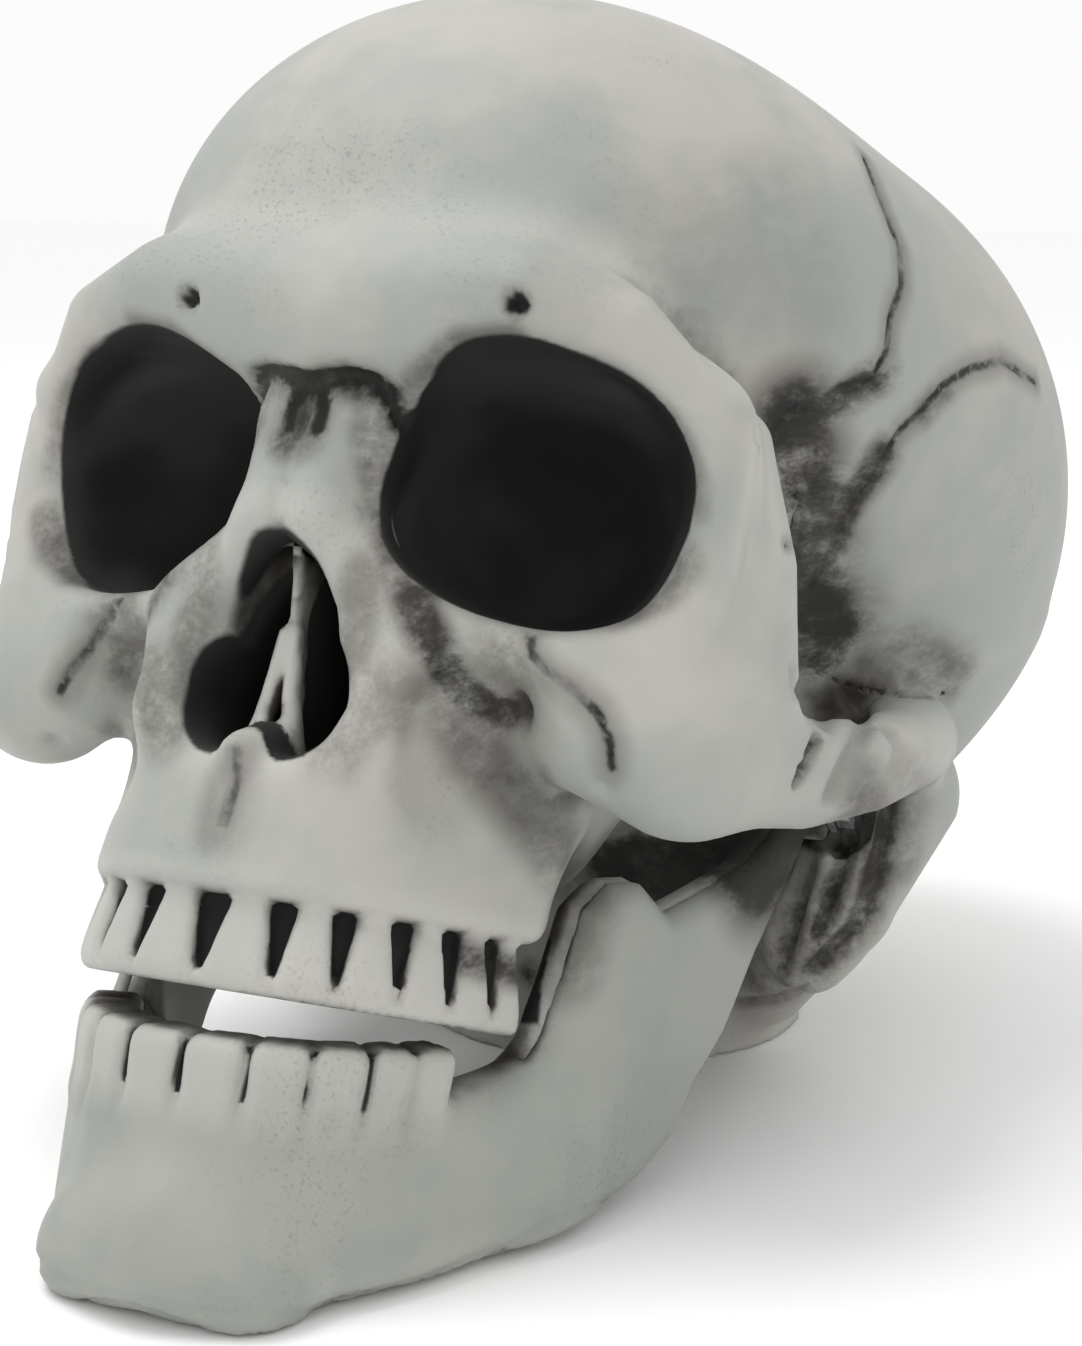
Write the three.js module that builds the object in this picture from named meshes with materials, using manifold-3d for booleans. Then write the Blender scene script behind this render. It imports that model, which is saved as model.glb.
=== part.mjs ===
// Halloween skull decoration: a hollow plastic skull, life size, with a jaw that swings on two screws.
//
// Millimetres. The skull is sculpted in a head frame: the origin is the root of the nose, +X is the
// skull's own left, +Y is its back and +Z is up. The sculpt is then tipped back and set down, so that
// in the finished part z = 0 is the surface that it stands on, and the origin is the middle of the
// flat base. Tables whose names end in shares hold shares of the sizes named beside them.

import * as THREE from 'three';
import { mergeVertices } from 'three/addons/utils/BufferGeometryUtils.js';
import Module from 'manifold-3d';

const wasm = await Module();
wasm.setup();

// Driving sizes of the braincase
const vaultWidth = 146;
const vaultLength = 190;
const vaultHeight = 126;
const vaultSetback = 87;
const vaultRise = 13;

// Driving sizes of the face
const faceHeight = 84;
const faceDepth = 80;
const eyeWidth = 39;
const eyeHeight = 34;
const eyeDepth = 30;
const noseWidth = 23;
const noseHeight = 28;
const noseDepth = 26;
const septumThickness = 2.4;
const eyeWall = 8;

// Driving sizes of the bite
const archWidth = 69;
const archDepth = 48;
const archRear = 38;
const gumHeight = 22;
const crownHeight = 12;
const lowerCrownHeight = 10;
const crownThickness = 8;
const toothSplay = 3.2;
const biteGap = 1.6;

// Driving sizes of the jaw
const jawBodyHeight = 35;
const jawWallTop = 9;
const jawWallFoot = 11;
const jawFootDepth = 93;
const jawFootRear = 80;
const jawSkin = 3.5;
const ramusThickness = 7.5;
const mouthGap = 6;

// Driving sizes of the hinge
const hingeSpan = 94;
const hingeSetback = 82;
const hingeDrop = 41;
const hingeEarRadius = 6.5;
const hingeEarThickness = 5;
const hingeScrewRadius = 2.6;
const hingeThreadRadius = 1.8;
const hingeThreadLength = 9;
const hingeHeadRadius = 4.4;
const hingeHeadHeight = 2.2;
const hingeWasherRadius = 5.2;
const hingeWasherThickness = 0.8;
const hingeBossRadius = 6;
const hingeBossLength = 20;
const cheekbonePast = 9;
const cheekboneThickness = 11;

// Driving sizes of the stance and the base
const tiltDegrees = 21;
const jawFootLift = 2.96;
const baseSetback = 88;
const baseWidth = 66;
const baseDepth = 60;
const baseRim = 7;
const baseLedge = 6;
const plateThickness = 2.4;
const ledgeThickness = 2.6;
const plateScrewHead = 3.2;
const plateScrewRadius = 1.5;
const plateScrewLength = 9;
const plateScrewSink = 1.8;
const screwBossRadius = 4.4;
const screwBossHeight = 11;

// Walls, seams and running gaps
const wall = 2.8;
const seam = 0.3;
const runningGap = 0.35;
const jawClearance = 1.2;
const rearSeamSetback = 56;
const lipLength = 6;
const lipThickness = 2;
const overrun = 6;

// Spacing of the sculpt's facets
const noseStep = 4.5;
const fineStep = 6.2;
const middleStep = 10;
const vaultStep = 10;
const coarseStep = 13;
const hollowStep = 17;
const chinStep = 5;
const jawStep = 5.4;
const branchStep = 9;
const partingStep = 10;

// How far the jaw opens, in degrees
const jawOpening = 25;
const jawSweepSteps = 5;

// Counts
const roundSides = 12;
const toothSides = 8;
const channelStations = 15;
const channelSides = 4;

// Sizes that follow from the driving sizes: the hinge's stack of ear, washer and screw head across the
// head, the cheeks outside it, and the jaw, whose foot is as wide as the hinge
const hingeX = hingeSpan / 2;
const earInside = hingeX - hingeEarThickness / 2;
const earOutside = hingeX + hingeEarThickness / 2;
const washerFace = earOutside + runningGap;
const headFace = washerFace + hingeWasherThickness + seam;
const headTop = headFace + hingeHeadHeight;
const cheekHalf = earOutside + hingeWasherThickness + hingeHeadHeight
  + cheekbonePast + cheekboneThickness / 2 - runningGap;
const biteEdge = -faceHeight;
const lowerBite = biteEdge - mouthGap;
const jawFootWidth = hingeSpan;
const jawFoot = lowerBite - jawBodyHeight;
const jawReach = hingeSetback + jawFootDepth - jawFootRear;
const jawDrop = -hingeDrop - jawFoot;
const jawFront = hingeSetback - jawReach;
const tilt = THREE.MathUtils.degToRad(tiltDegrees);

// The skull stands on its jaw and its base, so the foot of the jaw sets the height of the nose's root
const browHeight = jawFootLift + jawFront * Math.sin(tilt) - jawFoot * Math.cos(tilt);

// Distance fields: negative inside a form, in millimetres

function smoothMin(a, b, blend) {
  const h = Math.max(blend - Math.abs(a - b), 0);
  return Math.min(a, b) - (h * h) / (4 * blend);
}

function smoothMax(a, b, blend) {
  return -smoothMin(-a, -b, blend);
}

function clamp(value, low, high) {
  return Math.min(Math.max(value, low), high);
}

// Eases a share that runs from 0 to 1
function eased(share) {
  return share * share * (3 - 2 * share);
}

function ellipsoid(centre, radii) {
  const [rx, ry, rz] = radii;
  return (x, y, z) => {
    const px = (x - centre[0]) / rx;
    const py = (y - centre[1]) / ry;
    const pz = (z - centre[2]) / rz;
    const reach = Math.sqrt(px * px + py * py + pz * pz);
    const slope = Math.sqrt((px / rx) ** 2 + (py / ry) ** 2 + (pz / rz) ** 2);
    return slope > 0 ? (reach * (reach - 1)) / slope : -Math.min(rx, ry, rz);
  };
}

// A chain of round bars through points that each carry a radius
function bars(points) {
  return (x, y, z) => {
    let best = Infinity;
    for (let i = 1; i < points.length; i += 1) {
      const [ax, ay, az, ar] = points[i - 1];
      const [bx, by, bz, br] = points[i];
      const dx = bx - ax;
      const dy = by - ay;
      const dz = bz - az;
      const along = (x - ax) * dx + (y - ay) * dy + (z - az) * dz;
      const t = clamp(along / (dx * dx + dy * dy + dz * dz), 0, 1);
      const gap = Math.sqrt((x - ax - t * dx) ** 2 + (y - ay - t * dy) ** 2 + (z - az - t * dz) ** 2);
      best = Math.min(best, gap - ar - t * (br - ar));
    }
    return best;
  };
}

// Signed distance to a closed outline in a plane
function outlineDistance(points, u, v) {
  let best = Infinity;
  let side = 1;
  for (let i = 0, j = points.length - 1; i < points.length; j = i, i += 1) {
    const ex = points[j][0] - points[i][0];
    const ey = points[j][1] - points[i][1];
    const wx = u - points[i][0];
    const wy = v - points[i][1];
    const t = clamp((wx * ex + wy * ey) / (ex * ex + ey * ey), 0, 1);
    best = Math.min(best, (wx - ex * t) ** 2 + (wy - ey * t) ** 2);
    const above = v >= points[i][1];
    const below = v < points[j][1];
    const left = ex * wy > ey * wx;
    if ((above && below && left) || (!above && !below && !left)) side = -side;
  }
  return side * Math.sqrt(best);
}

// Distance outwards from a horseshoe: half a superellipse that runs straight on behind its rear line
function horseshoe(half, depth, rear, squareness, x, y) {
  const u = Math.abs(x) / half;
  if (y >= rear) return Math.abs(x) - half;
  const v = (rear - y) / depth;
  const reach = (u ** squareness + v ** squareness) ** (1 / squareness);
  if (reach === 0) return -half;
  const slopeX = (u / reach) ** (squareness - 1) / half;
  const slopeY = (v / reach) ** (squareness - 1) / depth;
  return (reach - 1) / Math.sqrt(slopeX * slopeX + slopeY * slopeY);
}

// A place in the face, as shares of the cheeks' half width, the face's depth and its height
function onFace([sx, sy, sz]) {
  return [sx * cheekHalf, sy * faceDepth, sz * faceHeight];
}

function facePoints(shares) {
  return shares.map(([sx, sy, sz, sr]) => [...onFace([sx, sy, sz]), sr * faceHeight]);
}

// A place in the braincase, as shares of its half width, half length and half height from its middle
function inVault([sx, sy, sz]) {
  return [
    (sx * vaultWidth) / 2,
    vaultSetback + (sy * vaultLength) / 2,
    vaultRise + (sz * vaultHeight) / 2,
  ];
}

function vaultForm({ middle, radii: [sx, sy, sz] }) {
  return ellipsoid(inVault(middle), [(sx * vaultWidth) / 2, (sy * vaultLength) / 2, (sz * vaultHeight) / 2]);
}

function faceForm({ middle, radii }) {
  return ellipsoid(onFace(middle), onFace(radii));
}

// Braincase: the middles and radii of its rounded forms, as shares of the vault's half sizes
const parietalShares = { middle: [0, 0.1, 0.1], radii: [0.96, 0.84, 0.86] };
const frontalShares = { middle: [0, -0.42, 0.16], radii: [0.74, 0.55, 0.73] };
const occipitalShares = { middle: [0, 0.36, -0.16], radii: [0.84, 0.62, 0.76] };
const templeCutShares = { middle: [1.06, -0.5, -0.42], radii: [0.26, 0.26, 0.42] };
const skullFloorShares = { middle: [0, -0.28, -0.6], radii: [0.56, 0.52, 0.4] };
const vaultBlendShare = 0.3;
const templeBlendShare = 0.2;

const parietal = vaultForm(parietalShares);
const frontal = vaultForm(frontalShares);
const occipital = vaultForm(occipitalShares);
const templeCut = vaultForm(templeCutShares);
const skullFloor = vaultForm(skullFloorShares);

// Face, as shares of the face's half width, depth and height; the last number is a radius
const browShares = [
  [0, -0.05, 0.05, 0.085],
  [0.21, -0.055, 0.08, 0.085],
  [0.42, -0.045, 0.095, 0.08],
  [0.6, 0.015, 0.07, 0.066],
  [0.745, 0.12, -0.02, 0.052],
];
const sideMarginShares = [
  [0.755, 0.14, -0.04, 0.048],
  [0.8, 0.19, -0.2, 0.056],
  [0.77, 0.18, -0.38, 0.078],
];
const sideFlangeShares = [
  [0.765, 0.26, -0.03, 0.045],
  [0.84, 0.28, -0.22, 0.05],
  [0.86, 0.26, -0.4, 0.07],
];
const lowerMarginShares = [
  [0.2, 0.05, -0.34, 0.045],
  [0.36, 0.08, -0.41, 0.06],
  [0.55, 0.11, -0.43, 0.068],
  [0.7, 0.17, -0.4, 0.072],
];
const cheekboneShares = [
  [0.6, 0.17, -0.5, 0.12],
  [0.74, 0.21, -0.53, 0.13],
];
const archShares = [
  [0.8, 0.25, -0.53, 0.11],
  [0.91, 0.42, -0.52, 0.088],
  [0.97, 0.6, -0.475, 0.076],
  [0.96, 0.8, -0.42, 0.074],
  [0.9, 1.0, -0.37, 0.09],
];
const noseBoneShares = [
  [0.03, 0.0, -0.05, 0.045],
  [0.045, -0.04, -0.165, 0.056],
  [0.05, -0.062, -0.27, 0.056],
];
const noseEdgeShares = [
  [0.06, -0.05, -0.27, 0.045],
  [0.16, -0.02, -0.38, 0.045],
  [0.2, 0.0, -0.5, 0.05],
];
const noseFlankShares = [
  [0.14, 0.045, -0.08, 0.05],
  [0.19, 0.02, -0.25, 0.055],
  [0.25, 0.01, -0.42, 0.065],
  [0.26, 0.0, -0.57, 0.07],
];
const noseSpineShares = [
  [0, -0.03, -0.625, 0.04],
  [0, -0.1, -0.64, 0.026],
];
const mastoidShares = [
  [0.78, 1.18, -0.45, 0.15],
  [0.76, 1.12, -0.66, 0.095],
  [0.71, 1.09, -0.77, 0.06],
];
const upperJawShares = { middle: [0, 0.42, -0.52], radii: [0.5, 0.43, 0.36] };
const cheekHollowShares = { middle: [0.42, 0.02, -0.58], radii: [0.13, 0.09, 0.13] };
const palateShares = { middle: [0, 0.36, -1.02], radii: [0.33, 0.4, 0.2] };
const faceBlendShare = 0.075;
const browBlendShare = 0.11;
const edgeBlendShare = 0.035;

const brow = bars(facePoints(browShares));
const sideMargin = bars(facePoints(sideMarginShares));
const sideFlange = bars(facePoints(sideFlangeShares));
const lowerMargin = bars(facePoints(lowerMarginShares));
const cheekbone = bars(facePoints(cheekboneShares));
const cheekArch = bars(facePoints(archShares));
const noseBone = bars(facePoints(noseBoneShares));
const noseEdge = bars(facePoints(noseEdgeShares));
const noseFlank = bars(facePoints(noseFlankShares));
const noseSpine = bars(facePoints(noseSpineShares));
const mastoid = bars(facePoints(mastoidShares));
const upperJaw = faceForm(upperJawShares);
const cheekHollow = faceForm(cheekHollowShares);
const palate = faceForm(palateShares);

// Eye socket: a cup that narrows backwards and inwards from a squarish rim
const eyeCentreShares = [0.455, 0.03, -0.172];
const eyeInwards = THREE.MathUtils.degToRad(20);
const eyeSlope = THREE.MathUtils.degToRad(-9);
const eyeSquareness = 2.6;

function eyeSocket(x, y, z) {
  const [cx, cy, cz] = onFace(eyeCentreShares);
  const back = (y - cy) * Math.cos(eyeInwards) - (x - cx) * Math.sin(eyeInwards);
  const across = (x - cx) * Math.cos(eyeInwards) + (y - cy) * Math.sin(eyeInwards);
  const up = (z - cz) * Math.cos(eyeSlope) - across * Math.sin(eyeSlope);
  const side = across * Math.cos(eyeSlope) + (z - cz) * Math.sin(eyeSlope);
  const u = (2 * Math.abs(side)) / eyeWidth;
  const v = (2 * Math.abs(up)) / eyeHeight;
  const rim = (u ** eyeSquareness + v ** eyeSquareness) ** (1 / eyeSquareness);
  const depth = Math.max(back, 0) / eyeDepth;
  return ((Math.sqrt(rim * rim + depth * depth) - 1) * eyeHeight) / 2;
}

// The socket's own wall, which closes it towards the temple and the inside of the head
function eyeCup(x, y, z) {
  const front = onFace(eyeCentreShares)[1] + eyeHeight / 4;
  return Math.max(eyeSocket(x, y, z) - eyeWall, front - y);
}

// Nose opening: a pear in front view, two lobes below and one above, with a thin wall in the middle that
// leans back towards its foot. The shares are of the nose's width and height.
const noseTopShare = -0.305;
const noseUpperShares = { halfWidth: 1 / 3, halfHeight: 0.5 };
const noseLobeShares = { side: 0.2, drop: 0.7, halfWidth: 0.3, halfHeight: 0.29 };
const septumLeanShare = 2.5;

function noseOpening(x, y, z) {
  const top = noseTopShare * faceHeight;
  const upperX = x / (noseUpperShares.halfWidth * noseWidth);
  const upperZ = (z - top) / (noseUpperShares.halfHeight * noseHeight) + 1;
  const upper = Math.hypot(upperX, upperZ) - 1;
  const lobeX = (x - noseLobeShares.side * noseWidth) / (noseLobeShares.halfWidth * noseWidth);
  const lobeZ = (z - top + noseLobeShares.drop * noseHeight) / (noseLobeShares.halfHeight * noseHeight);
  const lower = Math.hypot(lobeX, lobeZ) - 1;
  const pear = (Math.min(upper, lower) * noseWidth) / 4;
  return smoothMax(pear, y - noseDepth, edgeBlendShare * faceHeight);
}

function noseSeptum(x, y, z) {
  const top = noseTopShare * faceHeight;
  const down = (top - z) / noseHeight;
  const front = (down * septumLeanShare - 1) * septumThickness;
  const sheet = Math.max(x - septumThickness / 2, front - y, y - noseDepth - overrun);
  return Math.max(sheet, z - top, top - noseHeight - z - septumThickness);
}

// Upper gum: a solid horseshoe whose front face carries the crowns
const archSquareness = 2.4;
const gumRearShare = 0.68;

function upperGum(x, y, z) {
  const flare = clamp((biteEdge + crownHeight + gumHeight - z) / gumHeight, 0, 1);
  const out = horseshoe(archWidth / 2, archDepth, archRear, archSquareness, x, y) + (1 - flare) * toothSplay;
  const middle = biteEdge + crownHeight + gumHeight / 2;
  const level = Math.abs(z - middle) - gumHeight / 2;
  const rear = y - gumRearShare * archRear;
  return smoothMax(smoothMax(out, level, toothSplay), rear, toothSplay * 2);
}

// The flat stand below the back of the head, in the frame of the surface it stands on
function toStance(y, z) {
  return [
    y * Math.cos(tilt) + z * Math.sin(tilt) - baseSetback,
    z * Math.cos(tilt) - y * Math.sin(tilt) + browHeight,
  ];
}

const standRiseShare = 0.9;
const standFlareShares = [0.62, 0.75];
const standLeanShare = 0.32;
const standStepShare = 0.16;

function stand(x, y, z) {
  const [back, up] = toStance(y, z);
  const rise = standRiseShare * baseDepth;
  const grow = clamp((up - standStepShare * baseDepth) / rise, 0, 1);
  const halfX = (baseWidth / 2) * (1 + standFlareShares[0] * grow);
  const halfY = (baseDepth / 2) * (1 + standFlareShares[1] * grow);
  const centre = standLeanShare * baseDepth * grow;
  const around = (Math.hypot(x / halfX, (back - centre) / halfY) - 1) * Math.min(halfX, halfY);
  return Math.max(around, up - rise, -up - overrun);
}

// Jaw: a horseshoe wall that spreads towards its foot, a flat upright branch with a hook in front and
// an ear round the hinge, and a chin
const footSquareness = 1.75;
const crestSquareness = 2.2;
const crestInset = 1.2;

// A place on the jaw's side, as shares of its reach forward and its drop from the hinge
function onJaw([sy, sz]) {
  return [hingeSetback + sy * jawReach, -hingeDrop + sz * jawDrop];
}

const branchOutlineShares = [
  [-0.62, -0.57],
  [-0.596, -0.505],
  [-0.574, -0.405],
  [-0.556, -0.29],
  [-0.515, -0.238],
  [-0.458, -0.225],
  [-0.426, -0.245],
  [-0.39, -0.265],
  [-0.19, -0.15],
  [-0.04, -0.01],
  [0.02, -0.036],
  [-0.137, -0.313],
  [-0.2, -0.46],
  [-0.263, -0.55],
  [-0.295, -0.637],
  [-0.358, -0.707],
  [-0.463, -0.786],
  [-0.6, -0.8],
  [-0.7, -0.68],
];
const chinShares = [
  [0, -0.99, -0.88],
  [0.17, -0.95, -0.93],
];
const chinRadiusShare = 0.62;

const toothRunShare = 0.52;
const gumLineShare = 0.5;

// Height of the lower biting edge, which climbs to meet the upper one at the back teeth
function lowerEdge(y) {
  const back = clamp((y + archDepth - archRear) / (toothRunShare * archDepth), 0, 1);
  return lowerBite + back * (mouthGap - biteGap);
}

function jawCrest(y) {
  return lowerEdge(y) - gumLineShare * lowerCrownHeight;
}

const soleRiseShare = 1.3;
const bodyRearShare = -0.5;
const bodyRear = onJaw([bodyRearShare, 0])[0];

function jawSole(y) {
  const back = clamp((y - hingeSetback + jawReach) / jawReach, 0, 1);
  return jawFoot + soleRiseShare * jawBodyHeight * back ** 1.5;
}

// Share of the way up from the jaw's foot to its crest
function jawRise(z) {
  return clamp((z - jawFoot) / (jawBodyHeight - crownHeight / 2), 0, 1);
}

function footOut(x, y) {
  return horseshoe(jawFootWidth / 2, jawFootDepth, jawFootRear, footSquareness, x, y);
}

// Distance of the flare's start before the rear end of the row, as a share of the row's depth
const flareStartShare = 0.4;

function jawFlare(y) {
  const start = archRear - flareStartShare * archDepth;
  return clamp((y - start) / (bodyRear - start), 0, 1);
}

// Distance outwards from the outer face of the jaw's body
function jawOut(x, y, z) {
  const foot = footOut(x, y);
  const crest = horseshoe(archWidth / 2 - crestInset, archDepth - crestInset, archRear, crestSquareness, x, y);
  return foot + (crest - foot) * eased(jawRise(z)) * (1 - eased(jawFlare(y)));
}

function jawThickness(z) {
  return jawWallFoot + (jawWallTop - jawWallFoot) * jawRise(z);
}

function jawBody(x, y, z) {
  const thickness = jawThickness(z);
  const skin = Math.abs(jawOut(x, y, z) + thickness / 2) - thickness / 2;
  const level = smoothMax(z - jawCrest(y), jawSole(y) - z, crownThickness);
  return smoothMax(smoothMax(skin, level, crownThickness), y - bodyRear, crownThickness);
}

const branchOutline = branchOutlineShares.map(onJaw);

function jawBranch(x, y, z) {
  const flat = outlineDistance(branchOutline, y, z) + ramusThickness / 2;
  return Math.hypot(Math.max(flat, 0), footOut(x, y) + ramusThickness / 2) - ramusThickness / 2;
}

function hingeEar(x, y, z) {
  const round = Math.hypot(y - hingeSetback, z + hingeDrop) - hingeEarRadius;
  const flat = Math.abs(x - hingeX) - hingeEarThickness / 2;
  return Math.max(round, flat);
}

const chin = bars(chinShares.map(([sx, sy, sz]) => {
  const [y, z] = onJaw([sy, sz]);
  return [sx * archWidth, y + jawWallFoot / 2, z, chinRadiusShare * jawWallFoot];
}));

function jawField(x, y, z) {
  const side = Math.abs(x);
  const d = smoothMin(jawBody(side, y, z), chin(side, y, z), jawWallFoot / 2);
  return smoothMin(d, jawBranch(side, y, z), ramusThickness);
}

// Where the jaw's two mouldings part: a skin's depth inside the outer face at the foot and up the
// branch, and right behind the teeth at the crest
const branchPartShare = -0.6;

function jawParting(x, y, z) {
  const side = Math.abs(x);
  const inset = jawSkin + (jawWallTop + seam - jawSkin) * eased(jawRise(z));
  const branch = Math.max(footOut(side, y) + jawSkin, onJaw([branchPartShare, 0])[0] - y);
  return smoothMin(jawOut(side, y, z) + inset, branch, jawSkin);
}

// What the jaw needs free as it opens: its branches and ears at a few angles about the hinge
const sweepAngles = Array.from({ length: jawSweepSteps }, (_, i) => (
  THREE.MathUtils.degToRad((jawOpening * i) / (jawSweepSteps - 1))
));

function jawSweep(x, y, z) {
  let best = Infinity;
  for (const angle of sweepAngles) {
    const back = y - hingeSetback;
    const up = z + hingeDrop;
    const turnedY = back * Math.cos(angle) + up * Math.sin(angle) + hingeSetback;
    const turnedZ = up * Math.cos(angle) - back * Math.sin(angle) - hingeDrop;
    best = Math.min(best, jawBranch(x, turnedY, turnedZ), hingeEar(x, turnedY, turnedZ));
  }
  return best;
}

// Room for the hinge screw's head and washer outside the ear
function screwRoom(x, y, z) {
  const round = Math.hypot(y - hingeSetback, z + hingeDrop) - hingeWasherRadius;
  return Math.max(round, hingeX - x, x - headTop - runningGap);
}

function braincase(side, y, z) {
  const vaultBlend = (vaultBlendShare * vaultHeight) / 2;
  let d = smoothMin(parietal(side, y, z), frontal(side, y, z), vaultBlend);
  d = smoothMin(d, occipital(side, y, z), vaultBlend);
  d = smoothMin(d, stand(side, y, z), vaultBlend);
  d = smoothMax(d, -templeCut(side, y, z), (templeBlendShare * vaultWidth) / 2);
  return smoothMin(d, skullFloor(side, y, z), vaultBlend);
}

function skullField(x, y, z) {
  const side = Math.abs(x);
  const faceBlend = faceBlendShare * faceHeight;
  const edgeBlend = edgeBlendShare * faceHeight;
  let d = braincase(side, y, z);
  d = smoothMin(d, upperJaw(side, y, z), 2 * faceBlend);
  d = smoothMin(d, upperGum(side, y, z), 2 * faceBlend);
  d = smoothMin(d, brow(side, y, z), browBlendShare * faceHeight);
  d = smoothMin(d, sideMargin(side, y, z), faceBlend);
  d = smoothMin(d, sideFlange(side, y, z), faceBlend);
  d = smoothMin(d, lowerMargin(side, y, z), faceBlend);
  d = smoothMin(d, cheekbone(side, y, z), faceBlend);
  d = smoothMin(d, cheekArch(side, y, z), faceBlend);
  d = smoothMin(d, noseFlank(side, y, z), faceBlend);
  d = smoothMin(d, noseBone(side, y, z), faceBlend);
  d = smoothMin(d, noseEdge(side, y, z), edgeBlend);
  d = smoothMin(d, mastoid(side, y, z), faceBlend);
  d = smoothMax(d, -cheekHollow(side, y, z), faceBlend);
  d = smoothMax(d, -palate(side, y, z), faceBlend);
  d = smoothMin(d, eyeCup(side, y, z), edgeBlend);
  d = smoothMax(d, -eyeSocket(side, y, z), edgeBlend);
  d = smoothMax(d, -noseOpening(side, y, z), edgeBlend);
  d = smoothMin(d, noseSeptum(side, y, z), edgeBlend / 2);
  d = smoothMin(d, noseSpine(side, y, z), edgeBlend);
  d = smoothMax(d, jawClearance - jawSweep(side, y, z), edgeBlend / 2);
  return smoothMax(d, jawClearance - screwRoom(side, y, z), edgeBlend / 2);
}

// The hollow of the braincase, one wall inside every face of the skull
function hollowField(x, y, z) {
  return Math.max(skullField(x, y, z), braincase(Math.abs(x), y, z)) + wall;
}

// The vault alone, from a little below the top of the forehead
function vaultField(x, y, z) {
  return Math.max(skullField(x, y, z), -z);
}

// The back of the skull alone, from a little in front of its seam
function rearField(x, y, z) {
  return Math.max(skullField(x, y, z), rearSeamSetback - 2 * coarseStep - toStance(y, z)[0]);
}

// A surface where a field is zero, as an indexed mesh on a grid of planes

function gridLines(start, zones) {
  const lines = [start];
  for (const [end, step] of zones) {
    const first = lines[lines.length - 1];
    const count = Math.max(1, Math.round((end - first) / step));
    for (let i = 1; i <= count; i += 1) lines.push(first + ((end - first) * i) / count);
  }
  return lines;
}

function mirrored(lines) {
  return [...lines.slice(1).reverse().map((value) => -value), ...lines];
}

function surface(field, xs, ys, zs) {
  const nx = xs.length;
  const ny = ys.length;
  const nz = zs.length;
  const at = (i, j, k) => i + nx * (j + ny * k);
  const values = new Float64Array(nx * ny * nz);
  for (let k = 0; k < nz; k += 1) {
    for (let j = 0; j < ny; j += 1) {
      for (let i = 0; i < nx; i += 1) {
        const edge = i === 0 || j === 0 || k === 0 || i === nx - 1 || j === ny - 1 || k === nz - 1;
        const value = field(xs[i], ys[j], zs[k]);
        values[at(i, j, k)] = edge ? Math.max(Math.abs(value), seam) : value || seam;
      }
    }
  }
  settleSigns(values, [nx, ny, nz], at);
  const cells = new Map();
  const points = [];
  for (let k = 0; k < nz - 1; k += 1) {
    for (let j = 0; j < ny - 1; j += 1) {
      for (let i = 0; i < nx - 1; i += 1) {
        const point = cellPoint(values, at, xs, ys, zs, i, j, k);
        if (!point) continue;
        cells.set(at(i, j, k), points.length);
        points.push(ontoSurface(field, point, [xs, ys, zs], [i, j, k]));
      }
    }
  }
  const faces = [];
  const strides = [at(1, 0, 0), at(0, 1, 0), at(0, 0, 1)];
  for (let k = 0; k < nz - 1; k += 1) {
    for (let j = 0; j < ny - 1; j += 1) {
      for (let i = 0; i < nx - 1; i += 1) {
        const here = at(i, j, k);
        for (let axis = 0; axis < 3; axis += 1) {
          if ([i, j, k][(axis + 1) % 3] === 0 || [i, j, k][(axis + 2) % 3] === 0) continue;
          const inside = values[here] < 0;
          if (inside === values[here + strides[axis]] < 0) continue;
          const u = strides[(axis + 1) % 3];
          const v = strides[(axis + 2) % 3];
          const ring = [here - u - v, here - v, here, here - u].map((cell) => cells.get(cell));
          if (!inside) ring.reverse();
          pushQuad(field, faces, points, ring);
        }
      }
    }
  }
  return { points, faces };
}

// Where four grid values round a square alternate, the thinner of the two inside corners gives way
function settleSigns(values, [nx, ny, nz], at) {
  const strides = [at(1, 0, 0), at(0, 1, 0), at(0, 0, 1)];
  for (let changed = true; changed;) {
    changed = false;
    for (let k = 0; k < nz - 1; k += 1) {
      for (let j = 0; j < ny - 1; j += 1) {
        for (let i = 0; i < nx - 1; i += 1) {
          const here = at(i, j, k);
          for (let axis = 0; axis < 3; axis += 1) {
            const u = strides[axis];
            const v = strides[(axis + 1) % 3];
            const ring = [here, here + u, here + u + v, here + v];
            const [a, b, c, d] = ring.map((index) => values[index] < 0);
            if (a !== c || b !== d || a === b) continue;
            const thin = ring.filter((index) => values[index] < 0);
            thin.sort((p, q) => values[q] - values[p]);
            values[thin[0]] = seam;
            changed = true;
          }
        }
      }
    }
  }
}

function cellPoint(values, at, xs, ys, zs, i, j, k) {
  const sum = [0, 0, 0];
  let count = 0;
  for (let corner = 0; corner < 8; corner += 1) {
    const a = [corner & 1, (corner >> 1) & 1, (corner >> 2) & 1];
    for (let axis = 0; axis < 3; axis += 1) {
      if (a[axis]) continue;
      const b = [...a];
      b[axis] = 1;
      const va = values[at(i + a[0], j + a[1], k + a[2])];
      const vb = values[at(i + b[0], j + b[1], k + b[2])];
      if (va < 0 === vb < 0) continue;
      const t = va / (va - vb);
      const pa = [xs[i + a[0]], ys[j + a[1]], zs[k + a[2]]];
      const pb = [xs[i + b[0]], ys[j + b[1]], zs[k + b[2]]];
      for (let n = 0; n < 3; n += 1) sum[n] += pa[n] + (pb[n] - pa[n]) * t;
      count += 1;
    }
  }
  return count ? sum.map((value) => value / count) : null;
}

const slopeStep = 0.05;
const surfaceSteps = 6;
const cellMarginShare = 0.03;

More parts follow.
